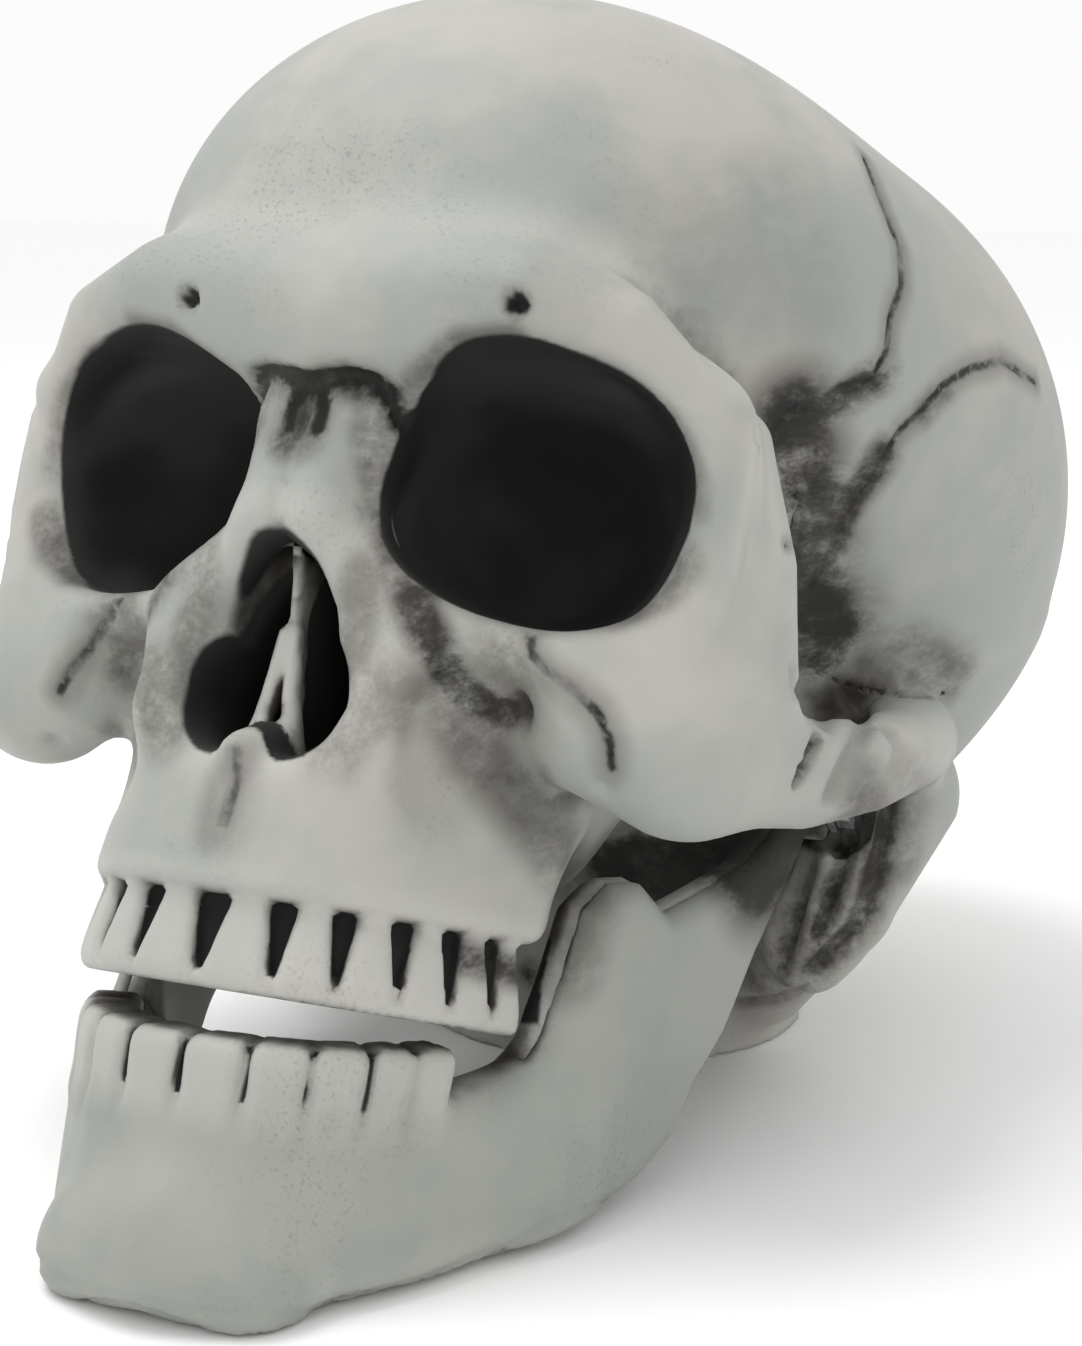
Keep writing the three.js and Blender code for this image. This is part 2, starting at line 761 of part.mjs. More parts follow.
function ontoSurface(field, point, lines, cell) {
  const p = [...point];
  for (let step = 0; step < surfaceSteps; step += 1) {
    const value = field(...p);
    const slope = p.map((_, n) => {
      const q = [...p];
      q[n] += slopeStep;
      return (field(...q) - value) / slopeStep;
    });
    const steep = slope.reduce((total, part) => total + part * part, 0);
    if (steep < slopeStep) break;
    for (let n = 0; n < 3; n += 1) {
      const low = lines[n][cell[n]];
      const high = lines[n][cell[n] + 1];
      const margin = cellMarginShare * (high - low);
      p[n] = clamp(p[n] - (value * slope[n]) / steep, low + margin, high - margin);
    }
  }
  return p;
}

// A quad is split along the diagonal whose middle lies nearer to the surface
function pushQuad(field, faces, points, [a, b, c, d]) {
  const miss = (p, q) => Math.abs(field(...points[p].map((value, n) => (value + points[q][n]) / 2)));
  if (miss(a, c) <= miss(b, d)) faces.push([a, b, c], [a, c, d]);
  else faces.push([a, b, d], [b, c, d]);
}

// Solids: closed meshes that can be joined and cut

function solidOf({ points, faces }) {
  return new wasm.Manifold(new wasm.Mesh({
    numProp: 3,
    vertProperties: new Float32Array(points.flat()),
    triVerts: new Uint32Array(faces.flat()),
  }));
}

function solidFrom(geometry) {
  const plain = geometry.clone();
  plain.deleteAttribute('normal');
  plain.deleteAttribute('uv');
  const merged = mergeVertices(plain);
  return new wasm.Manifold(new wasm.Mesh({
    numProp: 3,
    vertProperties: new Float32Array(merged.attributes.position.array),
    triVerts: new Uint32Array(merged.index.array),
  }));
}

function geometryOf(solid) {
  const mesh = solid.getMesh();
  const geometry = new THREE.BufferGeometry();
  geometry.setAttribute('position', new THREE.BufferAttribute(new Float32Array(mesh.vertProperties), 3));
  geometry.setIndex(new THREE.BufferAttribute(new Uint32Array(mesh.triVerts), 1));
  geometry.computeVertexNormals();
  return geometry;
}

// The sculpt's points in the frame of the finished part
function setDown(mesh) {
  const points = mesh.points.map(([x, y, z]) => [x, ...toStance(y, z)]);
  return { points, faces: mesh.faces };
}

function blockSolid(low, high) {
  const size = high.map((value, n) => value - low[n]);
  const geometry = new THREE.BoxGeometry(...size);
  geometry.translate(...low.map((value, n) => value + size[n] / 2));
  return solidFrom(geometry);
}

// A round solid along X from one place to another, for pins, bosses and holes across the head
function crossBar(radius, from, to, y, z) {
  const geometry = new THREE.CylinderGeometry(radius, radius, Math.abs(to - from), roundSides);
  geometry.rotateZ(Math.PI / 2);
  geometry.translate((from + to) / 2, y, z);
  return solidFrom(geometry);
}

// A solid turned about Z from a half profile of radius and height
function turned(profile) {
  const geometry = new THREE.LatheGeometry(profile.map(([r, h]) => new THREE.Vector2(r, h)), roundSides);
  geometry.rotateX(Math.PI / 2);
  return geometry;
}

function ovalSolid(halfX, halfY, from, to) {
  const shape = new THREE.Shape();
  shape.absellipse(0, 0, halfX, halfY, 0, 2 * Math.PI);
  const geometry = new THREE.ExtrudeGeometry(shape, {
    depth: to - from,
    bevelEnabled: false,
    curveSegments: roundSides,
  });
  geometry.translate(0, 0, from);
  return solidFrom(geometry);
}

// Teeth: each crown is a loft of rounded sections, narrow at the gum and wide at the biting edge

const crownWidthShares = [0.66, 0.86, 1.03, 0.94];
const crownBulgeShares = [0.8, 1.0, 0.98, 0.66];
const crownLevelShares = [-0.35, 0.3, 0.75, 1.0];
const crownSquareness = 3;
const walkSteps = 240;

function crown(width, thickness, height) {
  const points = [];
  const faces = [];
  crownLevelShares.forEach((level, row) => {
    for (let n = 0; n < toothSides; n += 1) {
      const turn = (2 * Math.PI * n) / toothSides;
      const round = (value) => Math.sign(value) * Math.abs(value) ** (2 / crownSquareness);
      points.push([
        (width / 2) * crownWidthShares[row] * round(Math.cos(turn)),
        (thickness / 2) * crownBulgeShares[row] * round(Math.sin(turn)),
        -height * level,
      ]);
      const next = (n + 1) % toothSides;
      const here = row * toothSides;
      if (row > 0) {
        faces.push([here + n, here - toothSides + n, here - toothSides + next]);
        faces.push([here + n, here - toothSides + next, here + next]);
      }
    }
  });
  const last = (crownLevelShares.length - 1) * toothSides;
  for (let n = 1; n < toothSides - 1; n += 1) {
    faces.push([0, n + 1, n]);
    faces.push([last, last + n, last + n + 1]);
  }
  return { points, faces };
}

// Crown places along a horseshoe: even shares of the row's length, measured along the curve
function rowPlaces(half, depth, rear, squareness, widths) {
  const curve = (turn) => new THREE.Vector2(
    half * Math.sin(turn) ** (2 / squareness),
    rear - depth * Math.cos(turn) ** (2 / squareness),
  );
  const places = [];
  let travelled = 0;
  let before = curve(0);
  let target = widths[0] / 2;
  for (let step = 1; step <= walkSteps && places.length < widths.length; step += 1) {
    const here = curve((Math.PI / 2) * (step / walkSteps));
    travelled += here.distanceTo(before);
    while (places.length < widths.length && travelled >= target) {
      const heading = here.clone().sub(before).normalize();
      places.push({ x: here.x, y: here.y, angle: Math.atan2(heading.y, heading.x) });
      const next = places.length;
      if (next < widths.length) target += (widths[next - 1] + widths[next]) / 2;
    }
    before = here;
  }
  return places;
}

function toothRow({ half, depth, rear, squareness, widths, height, level, upwards, splay }) {
  const flip = upwards ? -1 : 1;
  let row = null;
  rowPlaces(half, depth, rear, squareness, widths).forEach((place, index) => {
    const tooth = crown(widths[index], crownThickness, height);
    for (const side of [1, -1]) {
      const place3 = new THREE.Matrix4().makeRotationZ(place.angle);
      const lean = new THREE.Matrix4().makeRotationX(-flip * Math.atan2(splay, height));
      const points = tooth.points.map(([x, y, z]) => {
        const v = new THREE.Vector3(x, y, (z + height) * flip).applyMatrix4(lean).applyMatrix4(place3);
        const inset = crownThickness / 2;
        const px = place.x + v.x - inset * Math.sin(place.angle);
        const py = place.y + v.y + inset * Math.cos(place.angle);
        return [side * px, py, v.z + level(py)];
      });
      const turnedOver = side * flip > 0;
      const faces = tooth.faces.map(([a, b, c]) => (turnedOver ? [a, c, b] : [a, b, c]));
      const solid = solidOf(setDown({ points, faces }));
      row = row ? row.add(solid) : solid;
    }
  });
  return row;
}

// Cuts and joins that several pieces share

const reach = vaultLength + faceHeight + browHeight;
const [hingeY, hingeZ] = toStance(hingeSetback, -hingeDrop);

function slab(from, to) {
  return blockSolid([-reach, from, -reach], [reach, to, reach]);
}

function above(level) {
  return blockSolid([-reach, -reach, level], [reach, reach, reach]);
}

// Everything above a level of the head frame
function aboveInHead(level) {
  const geometry = new THREE.BoxGeometry(2 * reach, 2 * reach, reach);
  geometry.translate(0, 0, level + reach / 2);
  geometry.rotateX(-tilt);
  geometry.translate(0, -baseSetback, browHeight);
  return solidFrom(geometry);
}

// The same mesh moved outwards along its corners' normals
function grown(mesh, distance) {
  const normals = mesh.points.map(() => new THREE.Vector3());
  for (const face of mesh.faces) {
    const [a, b, c] = face.map((n) => new THREE.Vector3(...mesh.points[n]));
    const normal = b.sub(a).cross(c.sub(a));
    for (const n of face) normals[n].add(normal);
  }
  const points = mesh.points.map((point, n) => {
    const step = normals[n].normalize().multiplyScalar(distance);
    return [point[0] + step.x, point[1] + step.y, point[2] + step.z];
  });
  return { points, faces: mesh.faces };
}

// The largest of the bodies that a cut leaves
function largest(solid) {
  const bodies = solid.decompose();
  return bodies.reduce((best, body) => (body.volume() > best.volume() ? body : best));
}

function both(make) {
  return make(1).add(make(-1));
}

function hingeBar(radius, from, to, side) {
  return crossBar(radius, side * from, side * to, hingeY, hingeZ);
}

// Skull: the sculpt, its hollow, and the seam across the back of the head

const stanceHalfX = Math.max(vaultWidth / 2, cheekHalf + cheekboneThickness) + overrun;
const vaultBack = vaultSetback + vaultLength / 2 + 3 * overrun;
const vaultTop = vaultRise + vaultHeight / 2 + 2 * overrun;
const faceFront = -3 * overrun;
const skullLow = biteEdge - 4 * overrun;
const faceWidthShares = [0.26, 0.86];
const faceRearShares = [0.34, 1.2];
const faceTopShare = 0.2;

const faceLinesX = mirrored(gridLines(0, [
  [faceWidthShares[0] * cheekHalf, noseStep],
  [faceWidthShares[1] * cheekHalf, fineStep],
  [stanceHalfX, middleStep],
]));
const coarseLinesX = mirrored(gridLines(0, [[stanceHalfX, coarseStep]]));
const faceLinesY = gridLines(faceFront, [
  [faceRearShares[0] * faceDepth, fineStep],
  [faceRearShares[1] * faceDepth, middleStep],
  [vaultBack, coarseStep],
]);
const coarseLinesY = gridLines(faceFront, [[vaultBack, coarseStep]]);
const faceLinesZ = gridLines(skullLow, [
  [biteEdge, middleStep],
  [faceTopShare * faceHeight, fineStep],
  [vaultTop, coarseStep],
]);
const coarseLinesZ = gridLines(skullLow, [[vaultTop, coarseStep]]);

const hollowMesh = setDown(surface(
  hollowField,
  mirrored(gridLines(0, [[stanceHalfX, hollowStep]])),
  gridLines(faceFront, [[vaultBack, hollowStep]]),
  gridLines(skullLow, [[vaultTop, hollowStep]]),
));
const ledgeLow = plateThickness + seam;
const ledgeTop = ledgeLow + ledgeThickness;
const standOn = above(0);
const hollow = largest(solidOf(hollowMesh)).intersect(above(ledgeTop));
const lipOutside = solidOf(grown(hollowMesh, -runningGap));
const lipInside = solidOf(grown(hollowMesh, -runningGap - lipThickness));

// Oval well in the base for the plate, and the way through the ledge inside it
const wellX = baseWidth / 2 - baseRim;
const wellY = baseDepth / 2 - baseRim;
const plateScrewTurnShares = [1 / 8, 3 / 8, 5 / 8, 7 / 8];
const plateScrewPlaces = plateScrewTurnShares.map((share) => {
  const turn = 2 * Math.PI * share;
  return [(wellX - baseLedge / 2) * Math.cos(turn), (wellY - baseLedge / 2) * Math.sin(turn)];
});

function atScrew(solid, [x, y]) {
  return solid.translate([x, y, 0]);
}

const plateScrewTop = seam + plateScrewLength;
const plateScrew = solidFrom(turned([
  [0, seam],
  [plateScrewHead, seam],
  [plateScrewRadius, seam + plateScrewSink],
  [plateScrewRadius, plateScrewTop],
  [0, plateScrewTop],
]));
const plateScrewHole = solidFrom(turned([
  [0, -overrun],
  [plateScrewHead + seam, -overrun],
  [plateScrewHead + seam, seam],
  [plateScrewRadius + seam, seam + plateScrewSink],
  [plateScrewRadius + seam, plateScrewTop + seam],
  [0, plateScrewTop + seam],
]));
const screwBoss = solidFrom(turned([
  [0, ledgeLow],
  [screwBossRadius, ledgeLow],
  [screwBossRadius, ledgeLow + screwBossHeight],
  [0, ledgeLow + screwBossHeight],
]));

const upperToothShares = [0.155, 0.125, 0.125, 0.115, 0.11, 0.09];
const upperTeeth = toothRow({
  half: archWidth / 2,
  depth: archDepth,
  rear: archRear,
  squareness: archSquareness,
  widths: upperToothShares.map((share) => share * archWidth),
  height: crownHeight,
  level: () => biteEdge,
  upwards: false,
  splay: toothSplay,
});

// The face on its fine planes below the forehead, and the vault on coarse ones above it
function skullSculpt() {
  const forehead = faceTopShare * faceHeight;
  const face = solidOf(setDown(surface(skullField, faceLinesX, faceLinesY, faceLinesZ)));
  const vault = solidOf(setDown(surface(
    vaultField,
    mirrored(gridLines(0, [[stanceHalfX, vaultStep]])),
    gridLines(faceFront, [[vaultBack, vaultStep]]),
    gridLines(-vaultStep, [[vaultTop, vaultStep]]),
  )));
  return face.subtract(aboveInHead(forehead)).add(vault.intersect(aboveInHead(forehead - seam)));
}

// Where the hinge's boss faces the ear, and where the screw's shoulder and thread end inside it
const bossEnd = earInside - runningGap;
const shoulderEnd = earInside - seam / 2;
const threadEnd = shoulderEnd - hingeThreadLength;

function craniumFrontShell() {
  let shell = skullSculpt();
  shell = shell.intersect(standOn).subtract(slab(rearSeamSetback - seam / 2, reach)).subtract(hollow);
  shell = shell.add(upperTeeth);
  shell = shell.subtract(both((side) => hingeBar(hingeWasherRadius + jawClearance, bossEnd,
    headTop + jawClearance, side)));
  shell = shell.add(both((side) => hingeBar(hingeBossRadius, bossEnd - hingeBossLength, bossEnd, side)));
  shell = shell.subtract(both((side) => hingeBar(hingeThreadRadius + seam, threadEnd - seam, hingeX, side)));
  shell = shell.subtract(ovalSolid(wellX, wellY, -overrun, ledgeLow));
  shell = shell.subtract(ovalSolid(wellX - baseLedge, wellY - baseLedge, 0, ledgeTop + overrun));
  for (const place of plateScrewPlaces) shell = shell.add(atScrew(screwBoss, place));
  for (const place of plateScrewPlaces) shell = shell.subtract(atScrew(plateScrewHole, place));
  return largest(shell);
}

function craniumRearShell() {
  const seamFace = rearSeamSetback + seam / 2;
  const flange = slab(seamFace, seamFace + wall).subtract(lipInside);
  const lip = lipOutside.subtract(lipInside).intersect(slab(rearSeamSetback - lipLength, seamFace + wall));
  let shell = solidOf(setDown(surface(rearField, coarseLinesX, coarseLinesY, coarseLinesZ)));
  shell = shell.intersect(slab(seamFace, reach)).subtract(hollow.subtract(flange));
  return largest(shell.add(lip.intersect(above(ledgeTop))));
}

function basePlate() {
  let plate = ovalSolid(wellX - seam, wellY - seam, 0, plateThickness);
  for (const place of plateScrewPlaces) plate = plate.subtract(atScrew(plateScrewHole, place));
  return plate;
}

// Jaw: an outer moulding that carries the teeth and the hinge ears, and an inner one that closes it

const lowerToothShares = [0.13, 0.12, 0.11, 0.09, 0.095];
const lowerTeeth = toothRow({
  half: archWidth / 2 - crestInset,
  depth: archDepth - crestInset,
  rear: archRear,
  squareness: crestSquareness,
  widths: lowerToothShares.map((share) => share * archWidth),
  height: lowerCrownHeight,
  level: lowerEdge,
  upwards: true,
  splay: 0,
});

const jawRear = hingeSetback + hingeEarRadius;
const jawTop = hingeEarRadius - hingeDrop;
const jawSide = hingeX + hingeEarThickness;

const jawSolid = solidOf(setDown(surface(
  jawField,
  mirrored(gridLines(0, [[jawSide + overrun, jawStep]])),
  gridLines(jawFront - overrun, [[jawFront + jawReach / 4, chinStep], [jawRear + overrun, branchStep]]),
  gridLines(jawFoot - overrun, [[jawTop + overrun, jawStep]]),
))).intersect(above(seam));

const partingMesh = setDown(surface(
  jawParting,
  mirrored(gridLines(0, [[jawSide + 3 * overrun, partingStep]])),
  gridLines(jawFront - 3 * overrun, [[jawRear + 4 * overrun, partingStep]]),
  gridLines(jawFoot - 4 * overrun, [[jawTop + 4 * overrun, partingStep]]),
));

function hub(clearance) {
  return both((side) => hingeBar(hingeEarRadius + jawClearance + clearance, 0, hingeX + overrun, side));
}

// What stays free round the hinge: the boss's end inside the ear and the screw's shoulder through it
function hingeRoom() {
  return both((side) => hingeBar(hingeBossRadius + jawClearance, 0, earInside, side)
    .add(hingeBar(hingeScrewRadius + seam, 0, hingeX + overrun, side)));
}

// The place on the body's side that lies a distance inside its outer face, seen along one heading
function insideBody(heading, z, inset) {
  let near = 0;
  let out = jawFootDepth + overrun;
  const place = (r) => [r * Math.sin(heading), jawFootRear - r * Math.cos(heading)];
  while (out - near > slopeStep) {
    const middle = (near + out) / 2;
    const [x, y] = place(middle);
    if (jawOut(Math.abs(x), y, z) < -inset) near = middle;
    else out = middle;
  }
  return place(near);
}

// The channel that hollows the inner moulding behind the parting
const channelSweep = THREE.MathUtils.degToRad(40);
const channelLevelShares = [0.16, 0.5];

function channel() {
  const points = [];
  const faces = [];
  for (let n = 0; n < channelStations; n += 1) {
    const heading = channelSweep * ((2 * n) / (channelStations - 1) - 1);
    const sole = jawSole(insideBody(heading, jawFoot, jawWallFoot / 2)[1]);
    const crest = jawCrest(insideBody(heading, jawFoot, jawWallFoot / 2)[1]);
    const [low, high] = channelLevelShares.map((share) => sole + share * (crest - sole));
    for (const [level, inset] of [[low, 0], [low, 1], [high, 1], [high, 0]]) {
      const depth = inset ? jawThickness(level) - wall : 0;
      points.push([...insideBody(heading, level, depth), level]);
    }
    if (n === 0) continue;
    for (let c = 0; c < channelSides; c += 1) {
      const here = n * channelSides + c;
      const next = n * channelSides + ((c + 1) % channelSides);
      faces.push([here, here - channelSides, next - channelSides], [here, next - channelSides, next]);
    }
  }
  const last = (channelStations - 1) * channelSides;
  faces.push([0, 2, 1], [0, 3, 2], [last, last + 1, last + 2], [last, last + 2, last + 3]);
  return solidOf(setDown({ points, faces }));
}

function jawOuterShell() {
  const shell = jawSolid.subtract(solidOf(grown(partingMesh, seam / 2))).add(jawSolid.intersect(hub(0)));
  const ears = both((side) => hingeBar(hingeEarRadius, earInside, earOutside, side));
  return largest(shell.add(lowerTeeth).add(ears).subtract(hingeRoom()));
}

function jawInnerShell() {
  const shell = jawSolid.intersect(solidOf(grown(partingMesh, -seam / 2))).subtract(hub(seam));
  return largest(shell.subtract(channel()));
}

// Hinge fittings: a shoulder screw through a washer and the jaw's ear into the skull's boss

function hingeScrew(side) {
  return hingeBar(hingeHeadRadius, headFace, headTop, side)
    .add(hingeBar(hingeScrewRadius, shoulderEnd, (headFace + headTop) / 2, side))
    .add(hingeBar(hingeThreadRadius, threadEnd, headFace, side));
}

function hingeWasher(side) {
  return hingeBar(hingeWasherRadius, washerFace, washerFace + hingeWasherThickness, side)
    .subtract(hingeBar(hingeScrewRadius + seam, earInside, headFace, side));
}

// Materials
const bone = new THREE.MeshStandardMaterial({ color: 0xb9bbb4, roughness: 0.62, metalness: 0 });
const boneRear = new THREE.MeshStandardMaterial({ color: 0xa9afa7, roughness: 0.62, metalness: 0 });
const boneJaw = new THREE.MeshStandardMaterial({ color: 0xb4b8b0, roughness: 0.62, metalness: 0 });
const plate = new THREE.MeshStandardMaterial({ color: 0x8f938c, roughness: 0.7, metalness: 0 });
const steel = new THREE.MeshStandardMaterial({ color: 0x8d9093, roughness: 0.35, metalness: 1 });

const group = new THREE.Group();

function addPart(name, solid, material) {
  const mesh = new THREE.Mesh(geometryOf(solid), material);
  mesh.name = name;
  group.add(mesh);
}

addPart('cranium_front_shell', craniumFrontShell(), bone);
addPart('cranium_rear_shell', craniumRearShell(), boneRear);
addPart('base_plate', basePlate(), plate);
plateScrewPlaces.forEach((place, n) => {
  addPart(`base_plate_screw_${n + 1}`, atScrew(plateScrew, place), steel);
});
addPart('jaw_outer_shell', jawOuterShell(), boneJaw);
addPart('jaw_inner_shell', jawInnerShell(), boneJaw);
for (const [name, side] of [['left', 1], ['right', -1]]) {
  addPart(`jaw_hinge_screw_${name}`, hingeScrew(side), steel);
  addPart(`jaw_hinge_washer_${name}`, hingeWasher(side), steel);
}

export default group;
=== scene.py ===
# Halloween skull decoration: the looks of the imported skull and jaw.
#
# The sculpt is a distance field in a head frame in millimetres: the origin is the root of the nose,
# +X is the skull's own left, +Y its back and +Z up. It is meshed finely, tipped back and set down in
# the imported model's frame, in metres. The tables of bars, ellipsoids and outline points hold shares
# of the face's, the braincase's or the jaw's size.

from math import atan2, ceil, cos, hypot, pi, radians, sin

import bpy
import numpy as np
from mathutils import Matrix, Vector
from mathutils.bvhtree import BVHTree


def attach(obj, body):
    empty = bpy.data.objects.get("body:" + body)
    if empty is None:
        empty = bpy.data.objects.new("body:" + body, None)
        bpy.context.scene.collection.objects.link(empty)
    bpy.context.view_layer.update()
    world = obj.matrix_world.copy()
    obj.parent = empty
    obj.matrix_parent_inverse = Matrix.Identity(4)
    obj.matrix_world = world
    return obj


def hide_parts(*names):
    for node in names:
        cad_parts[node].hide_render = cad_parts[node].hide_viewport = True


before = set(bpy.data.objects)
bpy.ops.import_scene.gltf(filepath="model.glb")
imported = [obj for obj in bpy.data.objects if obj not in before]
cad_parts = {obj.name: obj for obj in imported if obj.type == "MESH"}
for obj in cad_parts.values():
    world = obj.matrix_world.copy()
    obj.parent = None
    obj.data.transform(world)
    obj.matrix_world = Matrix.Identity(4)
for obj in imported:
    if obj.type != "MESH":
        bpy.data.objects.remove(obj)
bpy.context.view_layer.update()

MM = 0.001

# A guard for divisions, and a distance that is out of reach
TINY = 1e-9
FAR = 1e3

# Braincase
VAULT_WIDTH = 146
VAULT_LENGTH = 190
VAULT_HEIGHT = 126
VAULT_SETBACK = 87
VAULT_RISE = 13

# Face
FACE_HEIGHT = 84
FACE_DEPTH = 80
EYE_WIDTH = 39
EYE_HEIGHT = 34
EYE_DEPTH = 30
EYE_WALL = 8
NOSE_WIDTH = 23
NOSE_HEIGHT = 28
NOSE_DEPTH = 26
SEPTUM = 2.4
SEPTUM_SHEET = 1.7

# Bite
ARCH_WIDTH = 69
ARCH_DEPTH = 48
ARCH_REAR = 38
GUM_HEIGHT = 22
CROWN = 12
LOWER_CROWN = 10
CROWN_THICKNESS = 8
TOOTH_SPLAY = 3.2
BITE_GAP = 1.6
MOUTH_GAP = 6

# Jaw
JAW_BODY = 35
JAW_WALL_TOP = 9
JAW_WALL_FOOT = 11
JAW_FOOT_DEPTH = 93
JAW_FOOT_REAR = 80
JAW_SKIN = 3.5
RAMUS = 7.5

# Hinge
HINGE_SPAN = 94
HINGE_SETBACK = 82
HINGE_DROP = 41
EAR_RADIUS = 6.5
EAR_THICKNESS = 5
SHOULDER_RADIUS = 2.6
HEAD_HEIGHT = 2.2
WASHER_RADIUS = 5.2
WASHER = 0.8
BOSS_RADIUS = 6
BOSS_LENGTH = 20
CHEEKBONE_PAST = 9
CHEEKBONE_THICKNESS = 11

# Stance and base
TILT = radians(21)
JAW_FOOT_LIFT = 2.96
BASE_SETBACK = 88
BASE_WIDTH = 66
BASE_DEPTH = 60
BASE_RIM = 7
LEDGE_LOW = 2.7

# Seams and gaps
SEAM = 0.3
RUNNING_GAP = 0.35
JAW_CLEARANCE = 1.2
JAW_LAP = 1.4
REAR_LAP = 0.3
SEAM_ROUND = 2.4
REAR_SEAM = 56
OVERRUN = 6

# Jaw's swing
JAW_OPENING = 25
SWEEP_STEPS = 5

HINGE_X = HINGE_SPAN / 2
JAW_FOOT_WIDTH = HINGE_SPAN
CHEEK_HALF = (HINGE_X + EAR_THICKNESS / 2 + WASHER + HEAD_HEIGHT
              + CHEEKBONE_PAST + CHEEKBONE_THICKNESS / 2 - RUNNING_GAP)
BITE = -FACE_HEIGHT
LOWER_BITE = BITE - MOUTH_GAP
JAW_FOOT = LOWER_BITE - JAW_BODY
JAW_REACH = HINGE_SETBACK + JAW_FOOT_DEPTH - JAW_FOOT_REAR
JAW_DROP = -HINGE_DROP - JAW_FOOT
JAW_FRONT = HINGE_SETBACK - JAW_REACH
BROW_HEIGHT = JAW_FOOT_LIFT + JAW_FRONT * sin(TILT) - JAW_FOOT * cos(TILT)
HEAD_TOP = HINGE_X + EAR_THICKNESS / 2 + RUNNING_GAP + WASHER + SEAM + HEAD_HEIGHT


# Distance fields on arrays: negative inside a form, in millimetres

def smooth_min(a, b, blend):
    h = np.maximum(blend - np.abs(a - b), 0)
    return np.minimum(a, b) - h * h / (4 * blend)


def smooth_max(a, b, blend):
    return -smooth_min(-a, -b, blend)


def ellipsoid(centre, radii):
    def field(x, y, z):
        px = (x - centre[0]) / radii[0]
        py = (y - centre[1]) / radii[1]
        pz = (z - centre[2]) / radii[2]
        reach = np.sqrt(px * px + py * py + pz * pz)
        slope = np.sqrt((px / radii[0]) ** 2 + (py / radii[1]) ** 2 + (pz / radii[2]) ** 2)
        return reach * (reach - 1) / np.maximum(slope, TINY)
    return field


def bars(points):
    def field(x, y, z):
        best = np.inf
        for (ax, ay, az, ar), (bx, by, bz, br) in zip(points[:-1], points[1:]):
            dx, dy, dz = bx - ax, by - ay, bz - az
            along = (x - ax) * dx + (y - ay) * dy + (z - az) * dz
            t = np.clip(along / (dx * dx + dy * dy + dz * dz), 0, 1)
            gap = np.sqrt((x - ax - t * dx) ** 2 + (y - ay - t * dy) ** 2 + (z - az - t * dz) ** 2)
            best = np.minimum(best, gap - ar - t * (br - ar))
        return best
    return field


def outline_distance(points, u, v):
    best = np.full_like(u, np.inf)
    inside = np.zeros_like(u, dtype=bool)
    for (ax, ay), (bx, by) in zip(points, points[-1:] + points[:-1]):
        ex, ey = bx - ax, by - ay
        wx, wy = u - ax, v - ay
        t = np.clip((wx * ex + wy * ey) / (ex * ex + ey * ey), 0, 1)
        best = np.minimum(best, (wx - ex * t) ** 2 + (wy - ey * t) ** 2)
        crosses = (v >= ay) != (v >= by)
        left = (ex * wy > ey * wx) == (by > ay)
        inside ^= crosses & left
    return np.where(inside, -1, 1) * np.sqrt(best)


def horseshoe(half, depth, rear, squareness, x, y):
    u = np.abs(x) / half
    v = np.maximum(rear - y, 0) / depth
    reach = np.maximum((u ** squareness + v ** squareness) ** (1 / squareness), TINY)
    slope_x = (u / reach) ** (squareness - 1) / half
    slope_y = (v / reach) ** (squareness - 1) / depth
    curved = (reach - 1) / np.sqrt(np.maximum(slope_x * slope_x + slope_y * slope_y, TINY))
    return np.where(y >= rear, np.abs(x) - half, curved)


def on_face(sx, sy, sz):
    return (sx * CHEEK_HALF, sy * FACE_DEPTH, sz * FACE_HEIGHT)


def face_bars(shares):
    return bars([(*on_face(sx, sy, sz), sr * FACE_HEIGHT) for sx, sy, sz, sr in shares])


VAULT_MIDDLE = (0, VAULT_SETBACK, VAULT_RISE)
VAULT_HALF = (VAULT_WIDTH / 2, VAULT_LENGTH / 2, VAULT_HEIGHT / 2)


def vault_form(centre, radii):
    place = [middle + share * half for middle, share, half in zip(VAULT_MIDDLE, centre, VAULT_HALF)]
    return ellipsoid(place, [share * half for share, half in zip(radii, VAULT_HALF)])


def to_stance(y, z):
    back = y * cos(TILT) + z * sin(TILT) - BASE_SETBACK
    up = z * cos(TILT) - y * sin(TILT) + BROW_HEIGHT
    return back, up


# Braincase
parietal = vault_form((0, 0.1, 0.1), (0.96, 0.84, 0.86))
frontal = vault_form((0, -0.42, 0.16), (0.74, 0.55, 0.73))
occipital = vault_form((0, 0.36, -0.16), (0.84, 0.62, 0.76))
temple_cut = vault_form((1.06, -0.5, -0.42), (0.26, 0.26, 0.42))
skull_floor = vault_form((0, -0.28, -0.6), (0.56, 0.52, 0.4))
VAULT_BLEND = 0.3 * VAULT_HEIGHT / 2
TEMPLE_BLEND = 0.2 * VAULT_WIDTH / 2

# Face
brow = face_bars([
    (0, -0.05, 0.05, 0.085),
    (0.21, -0.055, 0.08, 0.085),
    (0.42, -0.045, 0.095, 0.08),
    (0.6, 0.015, 0.07, 0.066),
    (0.745, 0.12, -0.02, 0.052),
])
side_margin = face_bars([
    (0.755, 0.14, -0.04, 0.048),
    (0.8, 0.19, -0.2, 0.056),
    (0.77, 0.18, -0.38, 0.078),
])
side_flange = face_bars([
    (0.765, 0.26, -0.03, 0.045),
    (0.84, 0.28, -0.22, 0.05),
    (0.86, 0.26, -0.4, 0.07),
])
lower_margin = face_bars([
    (0.2, 0.05, -0.34, 0.045),
    (0.36, 0.08, -0.41, 0.06),
    (0.55, 0.11, -0.43, 0.068),
    (0.7, 0.17, -0.4, 0.072),
])
cheekbone = face_bars([
    (0.6, 0.17, -0.5, 0.12),
    (0.74, 0.21, -0.53, 0.13),
])
